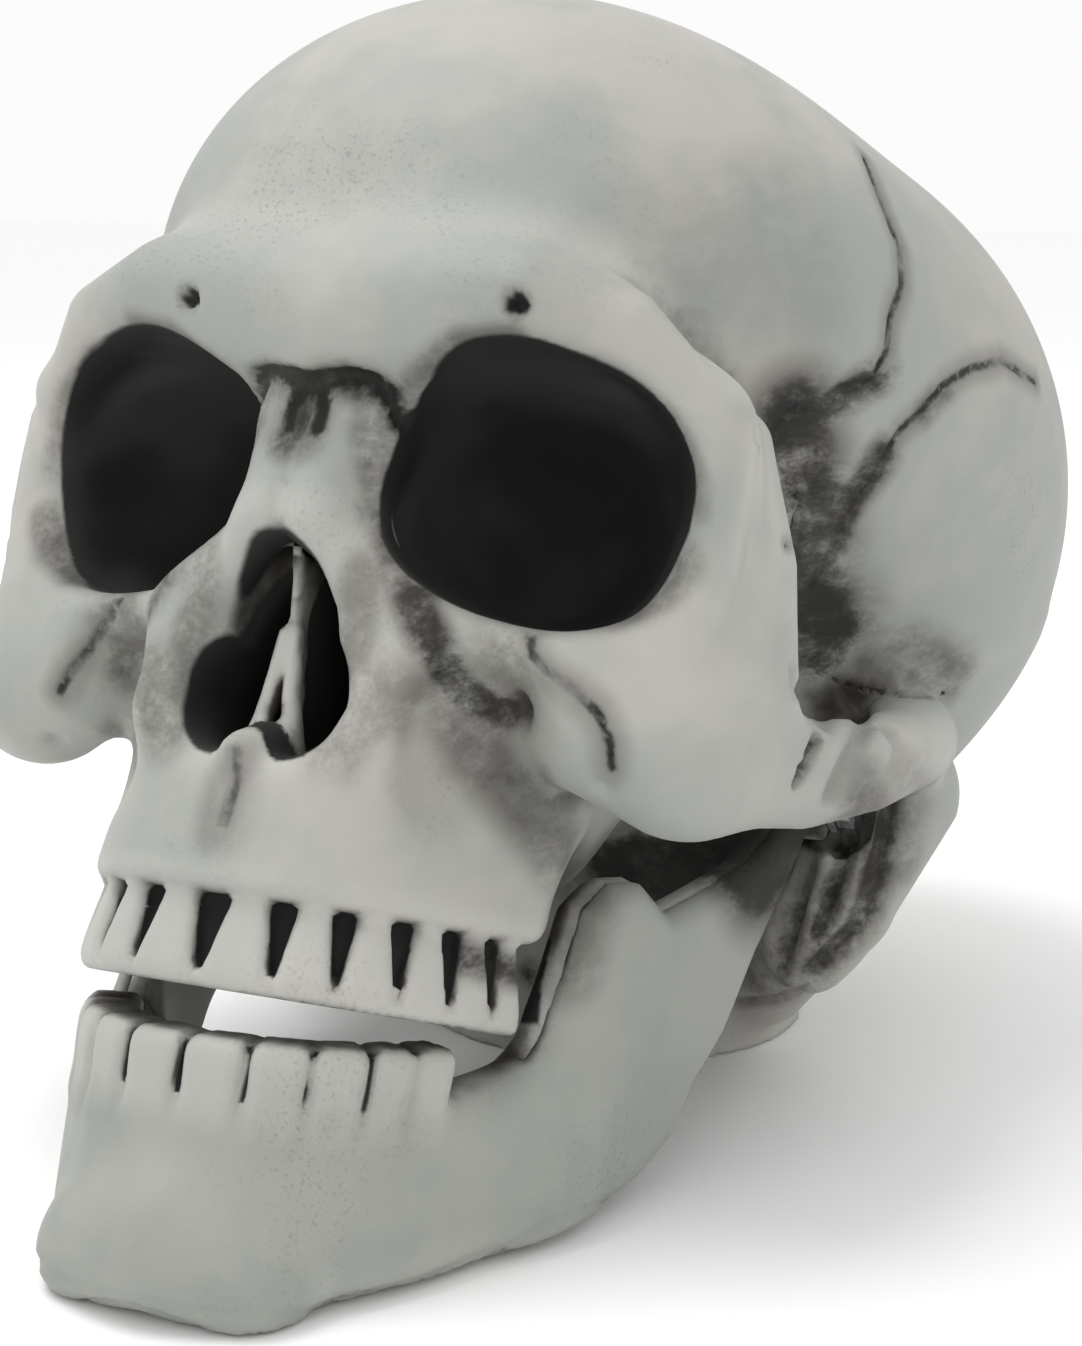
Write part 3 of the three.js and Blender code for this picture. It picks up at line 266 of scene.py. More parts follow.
cheek_arch = face_bars([
    (0.8, 0.25, -0.53, 0.11),
    (0.91, 0.42, -0.52, 0.088),
    (0.97, 0.6, -0.475, 0.076),
    (0.96, 0.8, -0.42, 0.074),
    (0.9, 1.0, -0.37, 0.09),
])
nose_bone = face_bars([
    (0.03, 0.0, -0.05, 0.045),
    (0.045, -0.04, -0.165, 0.056),
    (0.05, -0.062, -0.27, 0.056),
])
nose_edge = face_bars([
    (0.06, -0.05, -0.27, 0.045),
    (0.16, -0.02, -0.38, 0.045),
    (0.2, 0.0, -0.5, 0.05),
])
nose_flank = face_bars([
    (0.14, 0.045, -0.08, 0.05),
    (0.19, 0.02, -0.25, 0.055),
    (0.25, 0.01, -0.42, 0.065),
    (0.26, 0.0, -0.57, 0.07),
])
nose_spine = face_bars([
    (0, -0.03, -0.625, 0.04),
    (0, -0.1, -0.64, 0.026),
])
mastoid = face_bars([
    (0.78, 1.18, -0.45, 0.15),
    (0.76, 1.12, -0.66, 0.095),
    (0.71, 1.09, -0.77, 0.06),
])
flank = face_bars([
    (0.68, 1.13, -0.73, 0.085),
    (0.5, 1.36, -0.82, 0.08),
])
nasal_tip = face_bars([
    (0.034, -0.058, -0.065, 0.026),
    (0.03, -0.075, -0.165, 0.024),
])
septum_crest = face_bars([
    (0.01, 0.0, -0.44, 0.014),
    (0.024, 0.0, -0.54, 0.016),
    (0.06, 0.01, -0.66, 0.018),
])
upper_jaw = ellipsoid(on_face(0, 0.42, -0.52), on_face(0.5, 0.43, 0.36))
cheek_hollow = ellipsoid(on_face(0.42, 0.02, -0.58), on_face(0.13, 0.09, 0.13))
palate = ellipsoid(on_face(0, 0.36, -1.02), on_face(0.33, 0.4, 0.2))
FACE_BLEND = 0.075 * FACE_HEIGHT
BROW_BLEND = 0.2 * FACE_HEIGHT
EDGE_BLEND = 0.035 * FACE_HEIGHT

EYE_CENTRE = on_face(0.455, 0.03, -0.172)
EYE_INWARDS = radians(20)
EYE_SLOPE = radians(-9)
EYE_SQUARENESS = 2.6
NOSE_TOP = -0.305 * FACE_HEIGHT
NOSTRIL_SIDE = NOSE_WIDTH / 5
NOSTRIL_HALF = NOSE_WIDTH * 3 / 10
NOSTRIL_DROP = 0.7 * NOSE_HEIGHT
NOSTRIL_RISE = 0.29 * NOSE_HEIGHT
SEPTUM_LEAN = 2.5 * SEPTUM


def eye_socket(x, y, z):
    cx, cy, cz = EYE_CENTRE
    back = (y - cy) * cos(EYE_INWARDS) - (x - cx) * sin(EYE_INWARDS)
    across = (x - cx) * cos(EYE_INWARDS) + (y - cy) * sin(EYE_INWARDS)
    up = (z - cz) * cos(EYE_SLOPE) - across * sin(EYE_SLOPE)
    side = across * cos(EYE_SLOPE) + (z - cz) * sin(EYE_SLOPE)
    u = 2 * np.abs(side) / EYE_WIDTH
    v = 2 * np.abs(up) / EYE_HEIGHT
    rim = (u ** EYE_SQUARENESS + v ** EYE_SQUARENESS) ** (1 / EYE_SQUARENESS)
    depth = np.maximum(back, 0) / EYE_DEPTH
    return (np.sqrt(rim * rim + depth * depth) - 1) * EYE_HEIGHT / 2


def eye_cup(x, y, z):
    return np.maximum(eye_socket(x, y, z) - EYE_WALL, EYE_CENTRE[1] + EYE_HEIGHT / 4 - y)


def nose_opening(x, y, z):
    upper = np.hypot(x / (NOSE_WIDTH / 3), (z - NOSE_TOP + NOSE_HEIGHT / 2) / (NOSE_HEIGHT / 2)) - 1
    lower = np.hypot((x - NOSTRIL_SIDE) / NOSTRIL_HALF, (z - NOSE_TOP + NOSTRIL_DROP) / NOSTRIL_RISE) - 1
    pear = np.minimum(upper, lower) * NOSE_WIDTH / 4
    return smooth_max(pear, y - NOSE_DEPTH, EDGE_BLEND)


def septum_front(z):
    return -SEPTUM + SEPTUM_LEAN * (NOSE_TOP - z) / NOSE_HEIGHT


def nose_septum(x, y, z):
    sheet = np.maximum(np.maximum(x - SEPTUM_SHEET / 2, septum_front(z) - y), y - NOSE_DEPTH - OVERRUN)
    return np.maximum(np.maximum(sheet, z - NOSE_TOP), NOSE_TOP - NOSE_HEIGHT - z - SEPTUM)


ARCH_SQUARENESS = 2.4
UPPER_ARCH = (ARCH_WIDTH / 2, ARCH_DEPTH, ARCH_REAR, ARCH_SQUARENESS)
GUM_REAR = 0.68 * ARCH_REAR


def upper_gum(x, y, z):
    flare = np.clip((BITE + CROWN + GUM_HEIGHT - z) / GUM_HEIGHT, 0, 1)
    out = horseshoe(*UPPER_ARCH, x, y) + (1 - flare) * TOOTH_SPLAY
    level = np.abs(z - BITE - CROWN - GUM_HEIGHT / 2) - GUM_HEIGHT / 2
    return smooth_max(smooth_max(out, level, TOOTH_SPLAY), y - GUM_REAR, TOOTH_SPLAY * 2)


STAND_RISE = 0.9 * BASE_DEPTH
STAND_STEP = 0.16 * BASE_DEPTH
STAND_LEAN = 0.32 * BASE_DEPTH
STAND_WIDENS = 0.62
STAND_DEEPENS = 0.75


def stand(x, y, z):
    back, up = to_stance(y, z)
    grow = np.clip((up - STAND_STEP) / STAND_RISE, 0, 1)
    half_x = BASE_WIDTH / 2 * (1 + STAND_WIDENS * grow)
    half_y = BASE_DEPTH / 2 * (1 + STAND_DEEPENS * grow)
    reach = np.hypot(x / half_x, (back - STAND_LEAN * grow) / half_y)
    around = (reach - 1) * np.minimum(half_x, half_y)
    return np.maximum(np.maximum(around, up - STAND_RISE), -up - OVERRUN)


# Jaw
FOOT_SQUARENESS = 1.75
CREST_SQUARENESS = 2.2
CREST_INSET = 1.2
LOWER_ARCH = (ARCH_WIDTH / 2 - CREST_INSET, ARCH_DEPTH - CREST_INSET, ARCH_REAR, CREST_SQUARENESS)


def on_jaw(sy, sz):
    return (HINGE_SETBACK + sy * JAW_REACH, -HINGE_DROP + sz * JAW_DROP)


BRANCH_OUTLINE = [on_jaw(*share) for share in [
    (-0.62, -0.57), (-0.596, -0.505), (-0.574, -0.405), (-0.556, -0.29), (-0.515, -0.238),
    (-0.458, -0.225), (-0.426, -0.245), (-0.39, -0.265), (-0.19, -0.15), (-0.04, -0.01),
    (0.02, -0.036), (-0.137, -0.313), (-0.2, -0.46), (-0.263, -0.55), (-0.295, -0.637),
    (-0.358, -0.707), (-0.463, -0.786), (-0.6, -0.8), (-0.7, -0.68),
]]

FLARE_START = ARCH_REAR - 0.4 * ARCH_DEPTH
BODY_REAR = on_jaw(-0.5, 0)[0]
PARTING_REAR = on_jaw(-0.6, 0)[0]
LOWER_EDGE_RUN = 0.52 * ARCH_DEPTH
SOLE_RISE = 1.3 * JAW_BODY
SOLE_CURVE = 1.5
CHIN_RADIUS = 0.62 * JAW_WALL_FOOT
CHIN_SHARES = [(0, -0.99, -0.88), (0.17, -0.95, -0.93)]


def lower_edge(y):
    back = np.clip((y + ARCH_DEPTH - ARCH_REAR) / LOWER_EDGE_RUN, 0, 1)
    return LOWER_BITE + back * (MOUTH_GAP - BITE_GAP)


def jaw_crest(y):
    return lower_edge(y) - 0.5 * LOWER_CROWN


def jaw_sole(y):
    back = np.clip((y - HINGE_SETBACK + JAW_REACH) / JAW_REACH, 0, 1)
    return JAW_FOOT + SOLE_RISE * back ** SOLE_CURVE


def jaw_rise(z):
    return np.clip((z - JAW_FOOT) / (JAW_BODY - CROWN / 2), 0, 1)


def foot_out(x, y):
    return horseshoe(JAW_FOOT_WIDTH / 2, JAW_FOOT_DEPTH, JAW_FOOT_REAR, FOOT_SQUARENESS, x, y)


def eased(share):
    return share * share * (3 - 2 * share)


def jaw_flare(y):
    return np.clip((y - FLARE_START) / (BODY_REAR - FLARE_START), 0, 1)


def jaw_out(x, y, z):
    foot = foot_out(x, y)
    crest = horseshoe(*LOWER_ARCH, x, y)
    return foot + (crest - foot) * eased(jaw_rise(z)) * (1 - eased(jaw_flare(y)))


def jaw_body(x, y, z):
    thickness = JAW_WALL_FOOT + (JAW_WALL_TOP - JAW_WALL_FOOT) * jaw_rise(z)
    skin = np.abs(jaw_out(x, y, z) + thickness / 2) - thickness / 2
    level = smooth_max(z - jaw_crest(y), jaw_sole(y) - z, CROWN_THICKNESS)
    return smooth_max(smooth_max(skin, level, CROWN_THICKNESS), y - BODY_REAR, CROWN_THICKNESS)


def jaw_branch(x, y, z):
    flat = outline_distance(BRANCH_OUTLINE, y, z) + RAMUS / 2
    return np.hypot(np.maximum(flat, 0), foot_out(x, y) + RAMUS / 2) - RAMUS / 2


def hinge_round(y, z):
    return np.hypot(y - HINGE_SETBACK, z + HINGE_DROP)


def hinge_ear(x, y, z):
    return np.maximum(hinge_round(y, z) - EAR_RADIUS, np.abs(x - HINGE_X) - EAR_THICKNESS / 2)


def chin_point(sx, sy, sz):
    back, up = on_jaw(sy, sz)
    return (sx * ARCH_WIDTH, back + JAW_WALL_FOOT / 2, up, CHIN_RADIUS)


chin = bars([chin_point(*shares) for shares in CHIN_SHARES])


def jaw_parting(x, y, z):
    inset = JAW_SKIN + (JAW_WALL_TOP + SEAM - JAW_SKIN) * eased(jaw_rise(z))
    branch = np.maximum(foot_out(x, y) + JAW_SKIN, PARTING_REAR - y)
    return smooth_min(jaw_out(x, y, z) + inset, branch, JAW_SKIN)


def jaw_sweep(x, y, z):
    best = np.inf
    for n in range(SWEEP_STEPS):
        angle = radians(JAW_OPENING * n / (SWEEP_STEPS - 1))
        back, up = y - HINGE_SETBACK, z + HINGE_DROP
        ty = back * cos(angle) + up * sin(angle) + HINGE_SETBACK
        tz = up * cos(angle) - back * sin(angle) - HINGE_DROP
        best = np.minimum(best, np.minimum(jaw_branch(x, ty, tz), hinge_ear(x, ty, tz)))
    return best


# Teeth: tapered crowns along an arch, in front of a low backing that closes the gaps between them

UPPER_WIDTHS = [share * ARCH_WIDTH for share in (0.155, 0.125, 0.125, 0.115, 0.11, 0.09)]
LOWER_WIDTHS = [share * ARCH_WIDTH for share in (0.13, 0.12, 0.11, 0.09, 0.095)]
ARCH_WALK = 400


def arch_places(arch, widths):
    """Where each crown stands: its place on the arch's outer curve and the heading of the curve there."""
    half, depth, rear, squareness = arch
    turn = np.linspace(0, pi / 2, ARCH_WALK)
    x = half * np.sin(turn) ** (2 / squareness)
    y = rear - depth * np.cos(turn) ** (2 / squareness)
    walked = np.concatenate([[0], np.cumsum(np.hypot(np.diff(x), np.diff(y)))])
    places = []
    middle = before = 0
    for width in widths:
        middle += (before + width) / 2
        before = width
        k = min(int(np.searchsorted(walked, middle)), ARCH_WALK - 2)
        heading = atan2(y[k + 1] - y[k - 1], x[k + 1] - x[k - 1])
        places.append((float(x[k]), float(y[k]), heading))
    return places


UPPER_PLACES = arch_places(UPPER_ARCH, UPPER_WIDTHS)
LOWER_PLACES = arch_places(LOWER_ARCH, LOWER_WIDTHS)
CROWN_ROUND = 1.5
CROWN_LEAN = 0.5 * TOOTH_SPLAY / CROWN
CROWN_FULLNESS = 1.01
CROWN_WAIST = 0.4
BELLY_START = 0.25
BELLY_RUN = 0.8
ROOT = 4
UPPER_SHAPE = {"height": CROWN, "lean": CROWN_LEAN, "taper": 0.52, "steepness": 0.75, "proud": 0}
LOWER_SHAPE = {"height": LOWER_CROWN, "lean": 0, "taper": 0.17, "steepness": 0.5, "proud": 0.6}
UPPER_ROW = (UPPER_PLACES, UPPER_WIDTHS, UPPER_SHAPE, 0.4)
LOWER_ROW = (LOWER_PLACES, LOWER_WIDTHS, LOWER_SHAPE, 0.3)
TEETH_BLEND = 1.2

# What closes the gaps behind the crowns: middle and half thickness, outwards and up from the biting edge
UPPER_BACKING = ((-5.4, 2.2), (8, 7.4))
BITE_BAND = ((-4.2, 3.4), (1.2, 1.2))
LOWER_BACKING = ((-4.6, 3.0), (8, 7.0))
BITE_BAND_ROUND = 1.4


def crown(x, y, up, place, width, height, lean, taper, steepness, proud):
    """One crown; up is the height from its biting edge towards its gum."""
    px, py, heading = place
    along = (x - px) * cos(heading) + (y - py) * sin(heading)
    inward = -(x - px) * sin(heading) + (y - py) * cos(heading) - lean * up
    share = np.clip(up / height, 0, 1)
    half_width = width / 2 * (CROWN_FULLNESS - taper * share ** steepness) - CROWN_ROUND
    belly = np.sin(pi * np.clip(share * BELLY_RUN + BELLY_START, 0, 1))
    middle = CROWN_THICKNESS / 2 - proud + CROWN_WAIST * (1 - belly)
    beside = np.maximum(np.abs(along) - half_width, 0)
    behind = np.maximum(np.abs(inward - middle) - CROWN_THICKNESS / 2 + CROWN_ROUND, 0)
    ends = np.maximum(-up, up - height - ROOT)
    return smooth_max(np.hypot(beside, behind) - CROWN_ROUND, ends, 2 * CROWN_ROUND)


def on_some(mask, like, field):
    """The field where the mask is set, and a far value elsewhere, so that small forms cost little."""
    out = np.full_like(like, FAR)
    if mask.any():
        out[mask] = field(mask)
    return out


def slab(value, middle, half):
    return np.abs(value - middle) - half


def tooth_row(x, y, up, backing, places, widths, shape, blend):
    rear = y - places[-1][1] - widths[-1] / 2
    best = np.maximum(backing, rear)
    for place, width in zip(places, widths):
        best = smooth_min(best, crown(x, y, up, place, width, **shape), blend)
    return best


def upper_teeth(x, y, z):
    near = (z < BITE + CROWN + 2 * ROOT) & (z > BITE - OVERRUN)
    near &= (y < ARCH_REAR + OVERRUN) & (x < ARCH_WIDTH)

    def row(mask):
        px, py, up = x[mask], y[mask], z[mask] - BITE
        out = horseshoe(*UPPER_ARCH, px, py) + CROWN_LEAN * up
        backing = np.maximum(slab(out, *UPPER_BACKING[0]), slab(up, *UPPER_BACKING[1]))
        band = smooth_max(slab(out, *BITE_BAND[0]), slab(up, *BITE_BAND[1]), BITE_BAND_ROUND)
        return tooth_row(px, py, up, np.minimum(backing, band), *UPPER_ROW)
    return on_some(near, x, row)


def lower_teeth(x, y, z):
    near = (z > LOWER_BITE - LOWER_CROWN - 2 * ROOT) & (z < BITE + ROOT)
    near &= (y < ARCH_REAR) & (x < ARCH_WIDTH)

    def row(mask):
        px, py = x[mask], y[mask]
        up = lower_edge(py) - z[mask]
        out = horseshoe(*LOWER_ARCH, px, py)
        backing = np.maximum(slab(out, *LOWER_BACKING[0]), slab(up, *LOWER_BACKING[1]))
        return tooth_row(px, py, up, backing, *LOWER_ROW)
    return on_some(near, x, row)


# Whole forms

def braincase(side, y, z):
    d = parietal(side, y, z)
    for form in (frontal, occipital, stand):
        d = smooth_min(d, form(side, y, z), VAULT_BLEND)
    d = smooth_max(d, -temple_cut(side, y, z), TEMPLE_BLEND)
    return smooth_min(d, skull_floor(side, y, z), VAULT_BLEND)


SWEEP_INNER_SIDE = 22
SWEEP_TOP = -20
BOSS_BLEND = 1


def screw_room(side, y, z):
    around = hinge_round(y, z) - WASHER_RADIUS
    return np.maximum(np.maximum(around, HINGE_X - side), side - HEAD_TOP - RUNNING_GAP)


def hinge_boss(side, y, z):
    end = HINGE_X - EAR_THICKNESS / 2 - RUNNING_GAP
    return np.maximum(np.maximum(hinge_round(y, z) - BOSS_RADIUS, side - end), end - BOSS_LENGTH - side)


def base_well(side, y, z):
    back, up = to_stance(y, z)
    half_x, half_y = BASE_WIDTH / 2 - BASE_RIM, BASE_DEPTH / 2 - BASE_RIM
    around = (np.hypot(side / half_x, back / half_y) - 1) * min(half_x, half_y)
    return np.maximum(around, up - LEDGE_LOW)


# What is blended onto the braincase, in this order
MASS_FORMS = [(upper_jaw, 2 * FACE_BLEND), (upper_gum, 2 * FACE_BLEND), (brow, BROW_BLEND)]
for form in (side_margin, side_flange, lower_margin, cheekbone, cheek_arch, nose_flank, nose_bone):
    MASS_FORMS.append((form, FACE_BLEND))
MASS_FORMS += [(nose_edge, EDGE_BLEND), (nasal_tip, EDGE_BLEND / 4)]
MASS_FORMS += [(mastoid, FACE_BLEND), (flank, FACE_BLEND)]


def skull_mass(x, y, z):
    """The skull before its sockets and nose are cut."""
    side = np.abs(x)
    d = braincase(side, y, z)
    for form, blend in MASS_FORMS:
        d = smooth_min(d, form(side, y, z), blend)
    d = smooth_max(d, -cheek_hollow(side, y, z), FACE_BLEND)
    return smooth_max(d, -palate(side, y, z), FACE_BLEND)


def skull_field(x, y, z):
    side = np.abs(x)
    d = smooth_min(skull_mass(x, y, z), eye_cup(side, y, z), EDGE_BLEND)
    for form in (eye_socket, nose_opening):
        d = smooth_max(d, -form(side, y, z), EDGE_BLEND)
    for form in (nose_septum, septum_crest):
        d = smooth_min(d, form(side, y, z), EDGE_BLEND / 2)
    d = smooth_min(d, nose_spine(side, y, z), EDGE_BLEND)
    d = smooth_min(d, upper_teeth(side, y, z), TEETH_BLEND)
    near = (side > SWEEP_INNER_SIDE) & (y > -OVERRUN) & (z < SWEEP_TOP)
    sweep = on_some(near, side, lambda m: jaw_sweep(side[m], y[m], z[m]))
    d = smooth_max(d, JAW_CLEARANCE - sweep, EDGE_BLEND / 2)
    d = smooth_max(d, JAW_CLEARANCE - screw_room(side, y, z), EDGE_BLEND / 2)
    d = smooth_min(d, hinge_boss(side, y, z), BOSS_BLEND)
    d = np.maximum(d, -base_well(side, y, z))
    return np.maximum(d, -to_stance(y, z)[1])


def front_field(x, y, z):
    return smooth_max(skull_field(x, y, z), to_stance(y, z)[0] - REAR_SEAM, SEAM_ROUND)


def rear_field(x, y, z):
    return smooth_max(skull_field(x, y, z), REAR_SEAM - REAR_LAP - to_stance(y, z)[0], SEAM_ROUND)


def jaw_field(x, y, z):
    side = np.abs(x)
    d = smooth_min(jaw_body(side, y, z), chin(side, y, z), JAW_WALL_FOOT / 2)
    d = smooth_min(d, jaw_branch(side, y, z), RAMUS)
    d = smooth_min(d, lower_teeth(side, y, z), TEETH_BLEND)
    return np.maximum(d, SEAM - to_stance(y, z)[1])


def hub(y, z):
    return hinge_round(y, z) - EAR_RADIUS - JAW_CLEARANCE


def hinge_room(side, y, z):
    inner = np.maximum(hinge_round(y, z) - BOSS_RADIUS - JAW_CLEARANCE, side - HINGE_X + EAR_THICKNESS / 2)
    return np.minimum(inner, hinge_round(y, z) - SHOULDER_RADIUS - SEAM)


def jaw_outer_field(x, y, z):
    side = np.abs(x)
    d = jaw_field(x, y, z)
    parted = smooth_max(d, -jaw_parting(side, y, z), SEAM_ROUND)
    hubbed = np.maximum(d, hub(y, z))
    d = np.minimum(np.minimum(parted, hubbed), hinge_ear(side, y, z))
    return np.maximum(d, -hinge_room(side, y, z))


def jaw_inner_field(x, y, z):
    side = np.abs(x)
    d = smooth_max(jaw_field(x, y, z), jaw_parting(side, y, z) - JAW_LAP, SEAM_ROUND)
    return np.maximum(d, SEAM - hub(y, z))


def whole_field(x, y, z):
    return np.minimum(skull_field(x, y, z), jaw_field(x, y, z))


# Meshing: the field on a fine grid near the surface, then one corner in each crossed cell

BLOCK = 2
NEAR_BLOCKS = 1.6
NET_STEPS = 2
SLOPE_STEP = 0.04
LEAST_STEEPNESS = 0.2
FURTHEST_MOVE = 0.6
CELL_CORNERS = [(a, b, c) for a in (0, 1) for b in (0, 1) for c in (0, 1)]


def in_blocks(array):
    for axis in range(3):
        array = np.repeat(array, BLOCK, axis)
    return array


def at_corner(array, corner, counts):
    return array[tuple(slice(first, first + count) for first, count in zip(corner, counts))]


def sampled(field, low, high, step):
    """The field on a fine grid over x >= 0, mirrored to the whole grid, and the grid's origin."""
    block = BLOCK * step
    counts = [ceil((b - a) / block) for a, b in zip(low, high)]
    coarse = [a + block * np.arange(n + 1) for a, n in zip(low, counts)]
    far = field(*np.meshgrid(*coarse, indexing="ij"))
    near = np.abs(far) < NEAR_BLOCKS * block
    cells = np.zeros(counts, dtype=bool)
    for corner in CELL_CORNERS:
        cells |= at_corner(near, corner, counts)
    fine = at_corner(in_blocks(far), (0, 0, 0), [n * BLOCK + 1 for n in counts])
    wide = in_blocks(cells)
    mask = np.zeros(fine.shape, dtype=bool)
    for corner in CELL_CORNERS:
        part = at_corner(mask, corner, wide.shape)
        part |= wide
    index = np.nonzero(mask)
    fine[index] = field(*[start + step * n for start, n in zip(low, index)])
    full = np.concatenate([fine[:0:-1], fine])
    return full, np.array([-(fine.shape[0] - 1) * step, low[1], low[2]])


def netted(values, origin, step):
    """Corners and quads of the surface where the values change sign."""
    inside = values < 0
    counts = [n - 1 for n in values.shape]
    total = sum(at_corner(inside, corner, counts).astype(np.int8) for corner in CELL_CORNERS)
    active = (total > 0) & (total < 8)
    cell = np.argwhere(active)
    number = np.full(active.shape, -1, dtype=np.int64)
    number[active] = np.arange(len(cell))
    place = np.zeros((len(cell), 3))
    crossed = np.zeros(len(cell))
    for corner in CELL_CORNERS:
        for axis in range(3):
            if corner[axis]:
                continue
            here = cell + corner
            va = values[tuple(here.T)]
            vb = values[tuple((here + np.eye(3, dtype=int)[axis]).T)]
            cross = (va < 0) != (vb < 0)
            t = np.where(cross, va / np.where(cross, va - vb, 1), 0)
            point = here.astype(float)
            point[:, axis] += t
            place += point * cross[:, None]
            crossed += cross
    place = place / crossed[:, None] * step + origin
    quads = []
    for axis in range(3):
        u, v = (axis + 1) % 3, (axis + 2) % 3
        before, after = [slice(1, -1)] * 3, [slice(1, -1)] * 3
        before[axis], after[axis] = slice(0, -1), slice(1, None)
        first, second = inside[tuple(before)], inside[tuple(after)]
        where = np.argwhere(first != second)
        flips = ~first[tuple(where.T)]
        ring = []
        for du, dv in ((0, 0), (1, 0), (1, 1), (0, 1)):
            here = where.copy()
            here[:, u] += du
            here[:, v] += dv
            ring.append(number[tuple(here.T)])
        ring = np.stack(ring, axis=1)
        ring[flips] = ring[flips][:, ::-1]
        quads.append(ring)
    return place, np.concatenate(quads)


def slope(field, p):
    value = field(*p.T)
    parts = [(field(*(p + step).T) - value) / SLOPE_STEP for step in SLOPE_STEP * np.eye(3)]
    return value, np.stack(parts, axis=1)


def sculpt(field, low, high, step):
    """Corners on the surface, and quads."""
    values, origin = sampled(field, low, high, step)
    points, quads = netted(values, origin, step)
    start = points.copy()
    for _ in range(NET_STEPS):
        value, grad = slope(field, points)
        steep = np.maximum((grad ** 2).sum(axis=1), LEAST_STEEPNESS)
        points = points - (value / steep)[:, None] * grad
        points = np.clip(points, start - FURTHEST_MOVE * step, start + FURTHEST_MOVE * step)
    return points, quads


def set_down(points):
    back, up = to_stance(points[:, 1], points[:, 2])
    return np.stack([points[:, 0], back, up], axis=1) * MM


# Camera, at the photograph's viewing angle

PHOTO_WIDTH = 1082
PHOTO_HEIGHT = 1346
FOCAL_PIXELS = 2578.86
SENSOR_LONG_SIDE = 36
CAMERA_PLACE = Vector((178.102, -387.576, 140.531)) * MM
CAMERA_AZIMUTH = radians(26.274)
CAMERA_ELEVATION = radians(10.945)
CAMERA_BACK = Vector((
    sin(CAMERA_AZIMUTH) * cos(CAMERA_ELEVATION),
    -cos(CAMERA_AZIMUTH) * cos(CAMERA_ELEVATION),
    sin(CAMERA_ELEVATION),
))
CAMERA_RIGHT = Vector((cos(CAMERA_AZIMUTH), sin(CAMERA_AZIMUTH), 0))
CAMERA_UP = CAMERA_BACK.cross(CAMERA_RIGHT)


def new_object(name, data):
    made = bpy.data.objects.new(name, data)
    bpy.context.scene.collection.objects.link(made)
    return made


def make_camera():
    data = bpy.data.cameras.new("camera")
    data.sensor_fit = "VERTICAL"
    data.sensor_height = SENSOR_LONG_SIDE
    data.lens = FOCAL_PIXELS * SENSOR_LONG_SIDE / PHOTO_HEIGHT
    data.clip_start = 10 * MM
    camera = new_object("camera", data)
    turn = Matrix((CAMERA_RIGHT, CAMERA_UP, CAMERA_BACK)).transposed()
    camera.matrix_world = Matrix.Translation(CAMERA_PLACE) @ turn.to_4x4()
    bpy.context.scene.camera = camera


def ray_through(pixel):
    across = (pixel[0] - PHOTO_WIDTH / 2) / FOCAL_PIXELS
    down = (pixel[1] - PHOTO_HEIGHT / 2) / FOCAL_PIXELS
    return (CAMERA_RIGHT * across - CAMERA_UP * down - CAMERA_BACK).normalized()


# Marks, placed by pixels of the 1082 x 1346 photograph, with their sizes in millimetres

# Cracks: pixels and width
CRACKS = {
    "coronal": ([(866, 158), (884, 205), (901, 248), (903, 285), (892, 315), (888, 352),
                 (872, 380), (840, 388), (822, 405), (796, 408), (778, 420)], 1),
    "squamous": ([(812, 585), (832, 545), (846, 512), (866, 482), (884, 458), (902, 430),
                  (922, 412), (946, 384), (972, 368), (1003, 360), (1036, 382)], 1),
    "cheek": ([(531, 634), (530, 655), (545, 672), (572, 690), (598, 712), (609, 742), (610, 768)], 1),
    "far_cheek": ([(118, 598), (108, 622), (92, 648), (72, 672), (60, 692)], 1),
    "midline": ([(236, 752), (237, 775), (231, 800), (223, 822)], 1),
    "nasal": ([(281, 432), (287, 408), (300, 392), (330, 380), (366, 381), (392, 404), (406, 424)], 1.2),
    "arch_crease": ([(806, 668), (850, 688), (905, 697), (948, 694)], 0.5),
    "temple": ([(782, 470), (800, 505), (786, 545)], 0.5),
}
MIRRORED_CRACKS = ("coronal", "squamous", "arch_crease", "temple")
CRACK_FAR = 6.0
CRACK_DEPTH = 0.55
CRACK_WIDTH = 0.9

# Pits: pixel, radius, depth and how dark the painted shade in it is; one deeper than DRILLED is a hole,
# painted black inside as the shade of a deep hole
PITS = {
    "near_brow": ((517, 304), 1.9, 2.6, 1),
    "far_brow": ((188, 298), 1.7, 2.2, 1),
    "far_cheek": ((131, 665), 2.6, 1.2, 0.84),
    "near_cheek": ((520, 708), 3.0, 1.3, 0.91),
    "far_side": ((55, 740), 1.8, 0.8, 0),
    "near_side": ((605, 790), 1.7, 0.8, 0),
    "chin": ((387, 1184), 4.2, 0.9, 0),
    "near_gum": ((343, 1127), 3.2, 0.5, 0),
    "side_gum": ((410, 1114), 3.0, 0.5, 0),
}
DRILLED = 2
